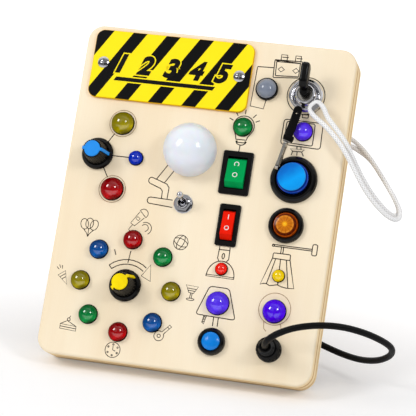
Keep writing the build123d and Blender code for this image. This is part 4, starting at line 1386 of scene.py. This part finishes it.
    def lute(self, strokes: Strokes, at: Place) -> None:
        """A small round-bodied lute.

        Args:
            strokes: The lines that it adds to.
            at: The picture's middle.
        """
        x, v = at
        strokes.arc((x - 2.6, v - 1.4), 3.6, 62.0, 390.0)
        strokes.arc((x - 2.6, v - 1.4), 1.2)
        strokes.line((x - 0.6, v + 1.8), (x + 4.4, v + 7.4), (x + 5.8, v + 6.0), (x + 0.8, v + 0.4))
        strokes.line((x + 3.0, v + 5.8), (x + 4.4, v + 4.4))

    def clock(self, strokes: Strokes, at: Place) -> None:
        """A round dial with its hands and a few hour dots.

        Args:
            strokes: The lines that it adds to.
            at: The picture's middle.
        """
        strokes.arc(at, 5.6)
        for angle in range(0, 360, 60):
            strokes.arc(polar(at, 4.0, angle + 30), 0.5)
        strokes.line(polar(at, 3.0, 90.0), at, polar(at, 2.2, -20.0))

    def cake(self, strokes: Strokes, at: Place) -> None:
        """A slice of layer cake with a cherry.

        Args:
            strokes: The lines that it adds to.
            at: The picture's middle.
        """
        x, v = at
        side = ((x - 6.6, v - 3.6), (x - 6.6, v - 0.2), (x + 5.6, v - 1.0), (x + 5.6, v - 4.4))
        strokes.line(*side, closed=True)
        strokes.line((x - 6.6, v - 0.2), (x - 1.6, v + 2.6), (x + 5.6, v - 1.0))
        strokes.line((x - 6.6, v - 1.9), (x + 5.6, v - 2.7))
        strokes.arc((x - 0.8, v + 3.6), 1.1)
        strokes.line((x - 0.6, v + 4.6), (x + 0.4, v + 6.4))

    def trumpet(self, strokes: Strokes, at: Place) -> None:
        """A party trumpet and a few streamers.

        Args:
            strokes: The lines that it adds to.
            at: The picture's middle.
        """
        x, v = at
        strokes.line((x + 5.0, v - 6.6), (x - 2.6, v - 0.4), (x + 2.4, v + 3.4), closed=True)
        strokes.line((x + 0.6, v - 3.0), (x + 3.4, v - 1.0))
        strokes.line((x - 1.0, v - 1.6), (x + 2.8, v + 1.2))
        for angle, reach in ((96.0, 5.6), (116.0, 6.4), (138.0, 6.0)):
            strokes.line(polar((x, v + 1.6), reach - 2.6, angle), polar((x, v + 1.6), reach, angle))

    def balloons(self, strokes: Strokes, at: Place) -> None:
        """Three balloons on their strings.

        Args:
            strokes: The lines that it adds to.
            at: The picture's middle.
        """
        x, v = at
        for side, lift in ((-3.7, 2.2), (0.0, 3.0), (3.7, 2.0)):
            strokes.arc((x + side, v + lift), 2.9, 0.0, 360.0, 1.35, -side * 4)
            strokes.line((x + side, v + lift - 3.9), (x + side * 0.3, v - 4.6), (x, v - 7.0))


@dataclass
class HazardSign:
    """The yellow and black sign with its row of plain numbers."""

    workshop: Workshop
    top: float = SIGN_TOP
    numbers: str = "1 2 3 4 5"
    height: float = 15.4
    type_size: float = 1.24
    spacing: float = 1.24
    slant: float = 0.34
    row: Place = (-1.2, 0.6)
    bar_slant: float = 0.6
    bar: tuple[float, float, float, float] = (-41.4, 34.6, -10.6, 3.0)
    swell: float = 0.95
    rim: float = 0.9
    rim_lift: float = 0.05
    print_lift: float = 0.1

    def build(self) -> None:
        """Dress the plate and its screws, then print the numbers and the bar."""
        self.workshop.paint(Coat.SIGN_YELLOW, "hazard_plate")
        self.workshop.paint(Coat.ZINC, "plate_screws")
        edge = self.swell + self.rim
        self.print_numbers("sign_numbers_edge", edge, self.rim_lift, Coat.PRINT_YELLOW)
        self.print_numbers("sign_numbers", self.swell, self.print_lift, Coat.PRINT_BLACK)
        self.print_bar("sign_bar_edge", self.rim, self.rim_lift, Coat.PRINT_YELLOW)
        self.print_bar("sign_bar", 0.0, self.print_lift, Coat.PRINT_BLACK)

    def print_numbers(self, name: str, swell: float, lift: float, coat: Coat) -> None:
        """Print the row of numbers.

        Args:
            name: The piece's name.
            swell: How far the strokes swell, in millimetres.
            lift: The print's height above the plate.
            coat: Its finish.
        """
        text = bpy.data.curves.new(name, "FONT")
        text.body = self.numbers
        text.size = self.height * self.type_size
        text.shear = self.slant
        text.space_character = self.spacing
        text.offset = swell
        text.align_x = "CENTER"
        text.align_y = "CENTER"
        data = self.workshop.mesh_of(text)
        place = (SIGN[0] + self.row[0], SIGN[1] + self.row[1])
        data.transform(FACE.matrix(place, self.top + lift))
        self.workshop.settle(name, data, coat, "board")

    def print_bar(self, name: str, swell: float, lift: float, coat: Coat) -> None:
        """Print the slanting bar under the numbers.

        Args:
            name: The piece's name.
            swell: How far the bar grows on every side, in millimetres.
            lift: The print's height above the plate.
            coat: Its finish.
        """
        left, right, middle, thick = self.bar
        mesh = bmesh.new()
        bmesh.ops.create_grid(mesh, x_segments=1, y_segments=1, size=0.5)
        size = (right - left + 2 * swell, thick + 2 * swell, 1)
        bmesh.ops.scale(mesh, vec=size, verts=mesh.verts)
        lean = Matrix(((1, self.bar_slant, 0, 0), (0, 1, 0, 0), (0, 0, 1, 0), (0, 0, 0, 1)))
        place = (SIGN[0] + (left + right) / 2, SIGN[1] + middle)
        self.workshop.piece(name, mesh, coat, "board", FACE.matrix(place, self.top + lift) @ lean)


@dataclass(frozen=True)
class RockerMark:
    """A white mark on a rocker: a bar, or a ring that may be open at its foot."""

    offset: float
    radius: float
    opening: float = 0.0
    bar: bool = False


@dataclass
class RockerSwitch:
    """A rocker switch in its black frame, with two marks on the rocker."""

    workshop: Workshop
    colour: str
    place: Place
    coat: Coat
    marks: Sequence[RockerMark]
    pivot: float = -2.5
    tilt: float = 9.0
    lift: float = 6.5
    mark_width: float = 0.64
    mark_flat: float = 0.35
    half_length: float = 9.0
    crown: float = 0.5
    ring_steps: int = 24

    def build(self) -> None:
        """Dress the switch and print its marks."""
        self.workshop.paint(Coat.BLACK_SATIN, f"{self.colour}_rocker_frame")
        self.workshop.paint(self.coat, f"{self.colour}_rocker")
        tilt = Matrix.Rotation(math.radians(-self.tilt), 4, "X")
        matrix = FACE.matrix(self.place, self.pivot) @ tilt @ Matrix.Translation((0, 0, self.lift))
        strokes = bpy.data.curves.new("marks", "CURVE")
        strokes.dimensions = "3D"
        strokes.bevel_depth = self.mark_width / 2
        strokes.bevel_resolution = 1
        strokes.use_fill_caps = True
        for mark in self.marks:
            self.add_mark(strokes, mark)
        data = self.workshop.mesh_of(strokes)
        data.transform(matrix @ Matrix.Scale(self.mark_flat, 4, (0, 0, 1)))
        self.workshop.settle(f"{self.colour}_marks", data, Coat.MARK_WHITE, f"{self.colour}_switch")

    def add_mark(self, strokes: bpy.types.Curve, mark: RockerMark) -> None:
        """Add one mark's line.

        Args:
            strokes: The curve that it adds to.
            mark: The mark.
        """
        if mark.bar:
            places = [(0.0, mark.offset - mark.radius), (0.0, mark.offset + mark.radius)]
        else:
            sweep = 360.0 - mark.opening
            first = -90.0 + mark.opening / 2
            angles = [first + sweep * step / self.ring_steps for step in range(self.ring_steps + 1)]
            places = [polar((0.0, mark.offset), mark.radius, angle) for angle in angles]
        spline = strokes.splines.new("POLY")
        spline.points.add(len(places) - 1)
        for point, (x, v) in zip(spline.points, places):
            rise = self.crown * (v / self.half_length) ** 2 / self.mark_flat
            point.co = (x, v, rise, 1.0)
        spline.use_cyclic_u = mark.opening == 0.0 and not mark.bar


@dataclass
class Controls:
    """Knobs, push buttons, lamps and the toggle: pieces whose shape the frame already has."""

    workshop: Workshop
    lamp_colours: tuple[str, ...] = ("red", "green", "olive", "blue", "purple")

    def build(self) -> None:
        """Give each piece its finish."""
        paint = self.workshop.paint
        paint(Coat.BLACK_SATIN, "knob_a_body", "knob_b_body", "grey_button_base")
        paint(Coat.KNOB_BLUE, "knob_a_cap")
        paint(Coat.BUTTON_AZURE, "blue_button_cap")
        paint(Coat.KNOB_YELLOW, "knob_b_cap")
        paint(Coat.STEEL, "selector_a_shaft", "selector_b_shaft")
        paint(Coat.GREY_HOUSING, "selector_a_switch", "selector_b_switch", "key_switch_case")
        paint(Coat.CHROME, "toggle_switch", "toggle_lever", "panel_nuts", "key_escutcheon", "key_ring")
        paint(Coat.NICKEL, "key_rotor", "key_blade", "snap_hook", "snap_gate", "battery_contacts")
        paint(Coat.BLACK_GLOSS, "arcade_collar", "blue_button_collar", "amber_collar", "socket", "plug_shell")
        paint(Coat.BLACK_SATIN, "plug_ring", "battery_box", "battery_door")
        paint(Coat.BUTTON_BLUE, "arcade_plunger")
        paint(Coat.BUTTON_GREY, "grey_button_cap")
        paint(Coat.LENS_AMBER, "amber_lens")
        paint(Coat.PEARL_WHITE, "pearl_dome")
        for colour in self.lamp_colours:
            paint(Coat[f"LAMP_{colour.upper()}"], f"lamps_{colour}")
        paint(Coat.LAMP_YELLOW, "lamp_yellow")


@dataclass(frozen=True)
class Spring:
    """One button's return spring: where it stands and how far its button goes."""

    joint: str
    place: Place
    radius: float
    foot: float
    height: float
    press: float


@dataclass
class ButtonSprings:
    """The return springs behind the push buttons, which flatten as the buttons go in."""

    workshop: Workshop
    wire: float = 0.4
    turns: int = 2
    steps: int = 32
    clearance: float = 0.05
    give: float = 0.98
    springs: tuple[Spring, ...] = (
        Spring("arcade_press", ARCADE, 9.0, -12.0, 4.4, 4.0),
        Spring("blue_press", (27.2, 24.0), 5.0, -8.0, 4.0, 2.0),
        Spring("grey_press", GREY_BUTTON, 3.6, -10.0, 4.0, 2.0),
    )

    def build(self) -> None:
        """Wind each spring in place of the plain ones."""
        for spring in self.springs:
            data = self.workshop.mesh_of(self.coil(spring))
            data.transform(FACE.matrix(spring.place, spring.foot))
            made = self.workshop.settle(f"{spring.joint}_spring", data, Coat.STEEL, "board")
            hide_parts("button_springs")
            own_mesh(made)

    def coil(self, spring: Spring) -> bpy.types.Curve:
        """The spring's wire as a curve that stands on the origin.

        Args:
            spring: The spring's sizes.

        Returns:
            The wire's curve, in millimetres.
        """
        curve = bpy.data.curves.new("coil", "CURVE")
        curve.dimensions = "3D"
        curve.bevel_depth = self.wire
        curve.bevel_resolution = 2
        curve.use_fill_caps = True
        spline = curve.splines.new("POLY")
        count = self.turns * self.steps
        spline.points.add(count)
        rise = spring.height - 2 * self.wire - 2 * self.clearance
        for step, point in enumerate(spline.points):
            x, y = polar((0.0, 0.0), spring.radius, 360.0 * step / self.steps)
            point.co = (x, y, self.wire + self.clearance + rise * step / count, 1.0)
        return curve


@dataclass
class RearGear:
    """The rear cover, the folding prop, what lies behind the battery door, and the cords' grommets."""

    workshop: Workshop
    cover: float = -FACE.thickness
    grommet: tuple[float, float] = (2.35, 0.45)

    def build(self) -> None:
        """Give each piece its finish."""
        paint = self.workshop.paint
        paint(Coat.REAR_BOARD, "back_cover")
        paint(Coat.ZINC, "rear_screws")
        paint(Coat.BIRCH, "prop_leg")
        paint(Coat.STEEL, "leg_brackets", "leg_pin")
        paint(Coat.CELL_WRAP, "battery_cells")
        paint(Coat.CIRCUIT_GREEN, "circuit_board")
        paint(Coat.WIRE_RED, "wire_loom")
        for index, place in enumerate(TETHER_HOLES):
            mesh = ring_mesh(*self.grommet)
            matrix = FACE.matrix(place, self.cover)
            self.workshop.piece(f"tether_eyelet_{index + 1}", mesh, Coat.NICKEL, "board", matrix)


def ring_mesh(radius: float, wire: float, segments: int = 40, sides: int = 10) -> bmesh.types.BMesh:
    """A round ring of wire about the origin.

    Args:
        radius: The radius of the wire's middle line.
        wire: The wire's own radius.
        segments: Steps round the ring.
        sides: Steps round the wire.

    Returns:
        The ring's mesh.
    """
    mesh = bmesh.new()
    made = bmesh.ops.create_circle(mesh, segments=sides, radius=wire)
    place = Matrix.Translation((radius, 0, 0)) @ Matrix.Rotation(math.radians(90), 4, "X")
    bmesh.ops.transform(mesh, matrix=place, verts=made["verts"])
    bmesh.ops.spin(
        mesh,
        geom=mesh.edges[:],
        cent=(0, 0, 0),
        axis=(0, 0, 1),
        angle=math.tau,
        steps=segments,
        use_merge=True,
    )
    return mesh


def cone_mesh(foot: float, top: float, height: float, segments: int = 40) -> bmesh.types.BMesh:
    """A sleeve that tapers from one radius to another, standing on the origin with its edges eased.

    Args:
        foot: The radius at the foot.
        top: The radius at the top.
        height: The height.
        segments: Steps round it.

    Returns:
        The sleeve's mesh.
    """
    mesh = bmesh.new()
    bmesh.ops.create_cone(mesh, cap_ends=True, segments=segments, radius1=foot, radius2=top, depth=height)
    bmesh.ops.translate(mesh, vec=(0, 0, height / 2), verts=mesh.verts)
    rims = [edge for edge in mesh.edges if abs(edge.verts[0].co.z - edge.verts[1].co.z) < 1e-6]
    bmesh.ops.bevel(
        mesh, geom=rims, offset=0.25, segments=3, profile=0.5, affect="EDGES", material=-1
    )
    return mesh


@dataclass
class Strap:
    """The flat black strap from the key ring to the snap hook, with its lashing and its knot."""

    workshop: Workshop
    start: Point = (66.0, 202.3, 6.9)
    middle: Point = (64.8, 188.8, 10.2)
    end: Point = (60.8, 176.0, 9.4)
    length: float = 27.6
    width: float = 6.2
    thickness: float = 2.6
    round_over: float = 0.6
    hole_radius: float = 0.9
    hole_from_top: float = 5.6
    corner: float = 2.0
    step: float = 1.5
    lashing: Point = (62.2, 177.4, 9.4)
    lashing_radius: float = 2.2
    lashing_length: float = 7.2
    knot: Point = (68.6, 203.5, 5.6)
    knot_radius: float = 1.4

    def build(self) -> None:
        """Make the strap, its lashing and its knot in place of the plain one."""
        pieces = (
            ("strap", self.band(), FACE.matrix()),
            ("strap_lashing", self.lashing_mesh(), self.lashing_matrix()),
            ("strap_knot", self.knot_mesh(), FACE.matrix(self.knot[:2], self.knot[2])),
        )
        for name, mesh, matrix in pieces:
            made = self.workshop.piece(name, mesh, Coat.RUBBER_BLACK, "board", matrix)
            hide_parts("fob_strap")

    def band(self) -> bmesh.types.BMesh:
        """The strap's outline with its hole, thickened, cut across and laid along its path.

        Returns:
            The strap's mesh, in millimetres over the face.
        """
        curve = bpy.data.curves.new("band", "CURVE")
        curve.dimensions = "2D"
        curve.fill_mode = "BOTH"
        curve.extrude = self.thickness / 2 - self.round_over
        curve.bevel_depth = self.round_over
        curve.bevel_resolution = 2
        curve.offset = -self.round_over
        for places in (self.rim(), self.hole()):
            spline = curve.splines.new("POLY")
            spline.points.add(len(places) - 1)
            for point, place in zip(spline.points, places):
                point.co = (*place, 0.0, 1.0)
            spline.use_cyclic_u = True
        mesh = bmesh.new()
        mesh.from_mesh(self.workshop.mesh_of(curve))
        for cut in range(1, int(self.length / self.step)):
            geometry = [*mesh.verts, *mesh.edges, *mesh.faces]
            line = (0, cut * self.step, 0)
            bmesh.ops.bisect_plane(mesh, geom=geometry, plane_co=line, plane_no=(0, 1, 0))
        for vertex in mesh.verts:
            vertex.co = self.laid(vertex.co)
        return mesh

    def rim(self) -> list[Place]:
        """The strap's outline: a round top end and a squarer foot.

        Returns:
            The outline's places.
        """
        half = self.width / 2
        places = [polar((0.0, half), half, 180 + 12 * step) for step in range(16)]
        side, foot = half - self.corner, self.length - self.corner
        places += [polar((side, foot), self.corner, 15 * step) for step in range(7)]
        places += [polar((-side, foot), self.corner, 90 + 15 * step) for step in range(7)]
        return places

    def hole(self) -> list[Place]:
        """The punched hole near the top end."""
        return [polar((0.0, self.hole_from_top), self.hole_radius, 20 * step) for step in range(18)]

    def laid(self, place: Vector) -> Vector:
        """Where a place on the flat strap lies once the strap follows its path.

        Args:
            place: The place on the flat strap.

        Returns:
            The place on the laid strap.
        """
        share = place.y / self.length
        before = Vector(self.start).lerp(Vector(self.middle), share)
        after = Vector(self.middle).lerp(Vector(self.end), share)
        along = (after - before).normalized()
        out = (Vector((0, 0, 1)) - along * along.z).normalized()
        return before.lerp(after, share) + out.cross(along) * place.x + out * place.z

    def lashing_mesh(self) -> bmesh.types.BMesh:
        """A tight roll of the strap's end."""
        return cone_mesh(self.lashing_radius, self.lashing_radius, self.lashing_length)

    def lashing_matrix(self) -> Matrix:
        """Lays the roll across the strap's foot.

        Returns:
            The matrix from the roll to the frame.
        """
        along = Vector(self.end) - Vector(self.middle)
        across = Vector((0, 0, 1)).cross(along).normalized()
        turn = across.to_track_quat("Z", "Y").to_matrix().to_4x4()
        middle = Matrix.Translation(Vector(self.lashing) - across * self.lashing_length / 2)
        return FACE.matrix() @ middle @ turn

    def knot_mesh(self) -> bmesh.types.BMesh:
        """A small round knot.

        Returns:
            The knot's mesh.
        """
        mesh = bmesh.new()
        bmesh.ops.create_icosphere(mesh, subdivisions=3, radius=self.knot_radius)
        return mesh


@dataclass
class KeyHead:
    """The key's thick soft head, with its edges well rounded."""

    workshop: Workshop
    place: Place = (68.9, 212.2)
    thickness: float = 6.0
    rounding: float = 2.3
    outline: Sequence[Place] = (
        (1.0, 13.0),
        (17.5, 13.5),
        (20.0, 16.0),
        (20.3, 22.0),
        (18.0, 24.5),
        (5.0, 24.5),
        (1.0, 20.5),
    )
    neck: tuple[float, float, float] = (3.3, 3.0, 5.0)
    neck_foot: float = 10.5

    def build(self) -> None:
        """Make the head and its neck in place of the plain one."""
        mesh = bmesh.new()
        half = self.thickness / 2
        side = mesh.faces.new([mesh.verts.new((-half, v, n)) for v, n in self.outline])
        pushed = bmesh.ops.extrude_face_region(mesh, geom=[side])["geom"]
        moved = [part for part in pushed if isinstance(part, bmesh.types.BMVert)]
        bmesh.ops.translate(mesh, vec=(self.thickness, 0, 0), verts=moved)
        bmesh.ops.recalc_face_normals(mesh, faces=mesh.faces)
        bmesh.ops.bevel(
            mesh,
            geom=mesh.edges[:],
            offset=self.rounding,
            segments=6,
            profile=0.5,
            affect="EDGES",
            clamp_overlap=True,
            material=-1,
        )
        head = self.workshop.piece("key_bow", mesh, Coat.BLACK_SATIN, "key", FACE.matrix(self.place))
        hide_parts("key_head")
        foot, top, height = self.neck
        neck = cone_mesh(foot, top, height)
        matrix = FACE.matrix(self.place, self.neck_foot)
        stem = self.workshop.piece("key_neck", neck, Coat.BLACK_SATIN, "key", matrix)
        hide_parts("key_head")


@dataclass
class Tether:
    """A white braided cord, doubled: from the back round the edge, through the clip and back again."""

    workshop: Workshop
    radius: float = 1.8
    route: Sequence[Point] = (
        (*TETHER_HOLES[0], -25.5),
        (*TETHER_HOLES[0], -36.5),
        (92.5, 197.5, -45.5),
        (103.0, 192.6, -48.0),
        (112.6, 184.2, -45.0),
        (122.8, 172.3, -39.5),
        (132.6, 159.8, -33.5),
        (140.7, 148.8, -29.0),
        (146.2, 139.7, -25.0),
        (146.8, 132.9, -20.5),
        (142.2, 131.2, -16.0),
        (134.6, 135.3, -11.0),
        (126.3, 142.4, -5.5),
        (118.6, 151.4, 0.0),
        (111.5, 162.1, 5.0),
        (106.1, 170.4, 8.2),
        (98.7, 179.4, 9.0),
        (87.7, 189.6, 9.0),
        (78.6, 195.5, 8.6),
        (73.3, 201.3, 8.6),
        (78.4, 207.8, 8.6),
        (84.6, 203.2, 8.7),
        (87.7, 196.4, 8.8),
        (96.6, 187.5, 8.8),
        (104.1, 179.3, 7.2),
        (108.7, 172.1, 3.8),
        (113.3, 164.3, -0.5),
        (120.7, 153.3, -6.0),
        (128.4, 144.5, -11.5),
        (136.4, 137.6, -18.0),
        (142.4, 135.2, -24.5),
        (144.9, 139.1, -30.0),
        (141.6, 147.1, -34.5),
        (134.8, 156.7, -39.0),
        (126.0, 168.2, -44.0),
        (115.9, 180.6, -48.0),
        (105.0, 187.0, -49.0),
        (93.5, 191.5, -46.0),
        (*TETHER_HOLES[1], -38.5),
        (*TETHER_HOLES[1], -26.0),
    )

    def build(self) -> None:
        self.workshop.paint(Coat.STEEL, "cord_clip")
        cord = self.workshop.cord("tether", self.route, self.radius, Coat.WHITE_CORD, "board")
        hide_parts("tether_cord")
        length = length_of(self.workshop.centreline(cord))
        log.info("tether: length %.1f mm", length / MM)


@dataclass
class PlugLead:
    """The black braided lead from the back of the board to the round plug."""

    workshop: Workshop
    radius: float = 2.4
    route: Sequence[Point] = (
        (69.7, 23.7, 14.5),
        (69.7, 23.7, 26.5),
        (76.0, 29.6, 35.5),
        (90.5, 36.8, 39.5),
        (107.2, 41.3, 37.5),
        (122.5, 43.2, 32.0),
        (136.5, 42.6, 23.0),
        (148.5, 40.4, 11.5),
        (157.0, 37.2, -1.5),
        (155.6, 33.0, -14.5),
        (146.0, 29.4, -26.5),
        (132.5, 29.2, -38.0),
        (117.5, 32.4, -48.5),
        (102.0, 37.2, -52.5),
        (87.5, 42.0, -49.0),
        (80.0, 44.0, -37.5),
        (80.0, 44.0, -25.5),
    )
    pit_floor: float = 17.2
    plug_boot: tuple[float, float, float] = (3.3, 2.5, 2.6)
    rear_boot: tuple[float, float, float] = (4.4, 2.6, 6.5)
    cover: float = -FACE.thickness

    def build(self) -> None:
        back_to_front = tuple(reversed(self.route))
        cord = self.workshop.cord("plug_lead", back_to_front, self.radius, Coat.CABLE, "board")
        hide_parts("plug_cable")
        length = length_of(self.workshop.centreline(cord))
        log.info("plug_lead: length %.1f mm", length / MM)
        front = FACE.matrix(self.route[0][:2], self.pit_floor)
        self.workshop.piece("plug_boot", cone_mesh(*self.plug_boot), Coat.RUBBER_BLACK, "board", front)
        turned = Matrix.Rotation(math.radians(180), 4, "X")
        rear = FACE.matrix(self.route[-1][:2], self.cover) @ turned
        self.workshop.piece("rear_boot", cone_mesh(*self.rear_boot), Coat.RUBBER_BLACK, "board", rear)


@dataclass(frozen=True)
class Softbox:
    """A rectangular area lamp that faces the board."""

    name: str
    bearing: float
    height: float
    distance: float
    size: tuple[float, float]
    watts: float


@dataclass
class Studio:
    """Camera, pale floor and soft light."""

    lens: float = 175.02
    sensor: float = 36.0
    location: Point = (0.32470, -1.37115, 0.61246)
    bearing: float = 13.09
    elevation: float = 19.54
    roll: float = 2.38
    aim: Point = (0.0, 0.0, 0.1)
    softboxes: tuple[Softbox, ...] = (
        Softbox("left_softbox", -49.0, 38.0, 1.5, (0.4, 0.6), 6.9),
        Softbox("right_softbox", 54.5, 35.6, 1.6, (0.3, 0.38), 4.9),
        Softbox("top_softbox", -8.0, 78.0, 1.6, (2.8, 2.0), 3.4),
    )
    ambient: float = 0.6
    dark_side: float = 0.05
    horizon: tuple[float, float] = (-0.2, 0.2)
    card: Point = (-0.22, -0.755, 0.627)
    card_edge: tuple[float, float] = (0.93, 0.985)
    card_light: float = 0.36
    floor_size: float = 4.0
    floor_colour: Colour = (0.84, 0.84, 0.85)
    floor_glow: tuple[float, float] = (0.16, 0.6)
    floor_reach: tuple[float, float] = (-0.02, 0.2)
    far_floor: tuple[float, float] = (0.5, 1.0)

    def build(self) -> None:
        """Set the view, then light it."""
        scene = bpy.context.scene
        scene.view_settings.view_transform = "Standard"
        self.place_camera()
        self.lay_floor()
        for softbox in self.softboxes:
            self.hang(softbox)
        self.fill_sky()

    def place_camera(self) -> None:
        """Stand the camera to the right of the board, a little above it."""
        data = bpy.data.cameras.new("camera")
        data.lens = self.lens
        data.sensor_width = self.sensor
        data.clip_end = 20.0
        camera = bpy.data.objects.new("camera", data)
        turn = Matrix.Rotation(math.radians(self.bearing), 4, "Z")
        lift = Matrix.Rotation(math.radians(90 - self.elevation), 4, "X")
        roll = Matrix.Rotation(math.radians(self.roll), 4, "Z")
        camera.matrix_world = Matrix.Translation(self.location) @ turn @ lift @ roll
        bpy.context.scene.collection.objects.link(camera)
        bpy.context.scene.camera = camera

    def lay_floor(self) -> None:
        """Lay a pale floor that reads as white to the camera, apart from the shadow on it."""
        mesh = bmesh.new()
        bmesh.ops.create_grid(mesh, x_segments=1, y_segments=1, size=self.floor_size)
        data = bpy.data.meshes.new("floor")
        mesh.to_mesh(data)
        mesh.free()
        floor = bpy.data.objects.new("floor", data)
        bpy.context.scene.collection.objects.link(floor)
        recipe = Recipe("floor")
        recipe.shade(Base_Color=self.floor_colour, Roughness=0.9, Specular_IOR_Level=0.0)
        recipe.shade(Emission_Color=(1.0, 1.0, 1.0))
        path = recipe.node("ShaderNodeLightPath")
        seen = recipe.maths("MAXIMUM", path.outputs["Is Camera Ray"], path.outputs["Is Transmission Ray"])
        place = recipe.node("ShaderNodeTexCoord").outputs["Object"]
        behind = recipe.spread(recipe.axis(place, "Y"), *self.floor_reach, *self.floor_glow)
        radius = recipe.node("ShaderNodeVectorMath", operation="LENGTH")
        recipe.join(place, radius.inputs[0])
        far = recipe.spread(radius.outputs["Value"], *self.far_floor, *self.floor_glow)
        glow = recipe.maths("MAXIMUM", behind, far)
        recipe.feed(recipe.maths("MULTIPLY", seen, glow), "Emission Strength")
        data.materials.append(recipe.material)

    def hang(self, softbox: Softbox) -> None:
        """Hang one softbox, aimed at the board.

        Args:
            softbox: The softbox.
        """
        data = bpy.data.lights.new(softbox.name, "AREA")
        data.shape = "RECTANGLE"
        data.size, data.size_y = softbox.size
        data.energy = softbox.watts
        lamp = bpy.data.objects.new(softbox.name, data)
        bearing, height = math.radians(softbox.bearing), math.radians(softbox.height)
        away = Vector(
            (
                math.sin(bearing) * math.cos(height),
                -math.cos(bearing) * math.cos(height),
                math.sin(height),
            )
        )
        lamp.location = Vector(self.aim) + away * softbox.distance
        lamp.rotation_mode = "QUATERNION"
        lamp.rotation_quaternion = away.to_track_quat("Z", "Y")
        bpy.context.scene.collection.objects.link(lamp)

    def fill_sky(self) -> None:
        """A dim even sky for light. The camera sees it white; metal sees the same white behind the
        board, and in front of it a dark room with one white card.
        """
        world = bpy.data.worlds.new("sky")
        world.use_nodes = True
        nodes = Nodes(world.node_tree)
        sky = nodes.tree.nodes["Background"]
        sky.inputs["Color"].default_value = (1.0, 1.0, 1.0, 1.0)
        path = nodes.node("ShaderNodeLightPath")
        seen = nodes.maths("MAXIMUM", path.outputs["Is Camera Ray"], path.outputs["Is Transmission Ray"])
        plain = nodes.spread(seen, 0.0, 1.0, self.ambient, 1.0)
        way = nodes.node("ShaderNodeTexCoord").outputs["Generated"]
        behind = nodes.spread(nodes.axis(way, "Y"), *self.horizon, self.dark_side, 1.0)
        toward = nodes.node("ShaderNodeVectorMath", operation="DOT_PRODUCT")
        nodes.join(way, toward.inputs[0])
        toward.inputs[1].default_value = self.card
        card = nodes.spread(toward.outputs["Value"], *self.card_edge, 0.0, self.card_light)
        mirrored = nodes.maths("MAXIMUM", behind, card)
        choice = nodes.node("ShaderNodeMix", data_type="FLOAT")
        nodes.join(path.outputs["Is Glossy Ray"], choice.inputs[0])
        nodes.join(plain, choice.inputs[2])
        nodes.join(mirrored, choice.inputs[3])
        nodes.join(choice.outputs[0], sky.inputs["Strength"])
        bpy.context.scene.world = world


def main() -> None:
    """Build and dress everything in order."""
    logging.basicConfig(level=logging.INFO, format="%(message)s")
    workshop = Workshop()
    Studio().build()
    PlugLead(workshop).build()
    Tether(workshop).build()
    Panel(workshop).build()
    HazardSign(workshop).build()
    Controls(workshop).build()
    green_marks = (RockerMark(5.2, 1.65, 80.0), RockerMark(-3.1, 1.6))
    red_marks = (RockerMark(4.8, 1.8, bar=True), RockerMark(-3.7, 1.5))
    RockerSwitch(workshop, "green", GREEN_SWITCH, Coat.GREEN_GLOSS, green_marks).build()
    RockerSwitch(workshop, "red", RED_SWITCH, Coat.RED_GLOSS, red_marks).build()
    ButtonSprings(workshop).build()
    KeyHead(workshop).build()
    Strap(workshop).build()
    RearGear(workshop).build()


if __name__ == "__main__":
    main()
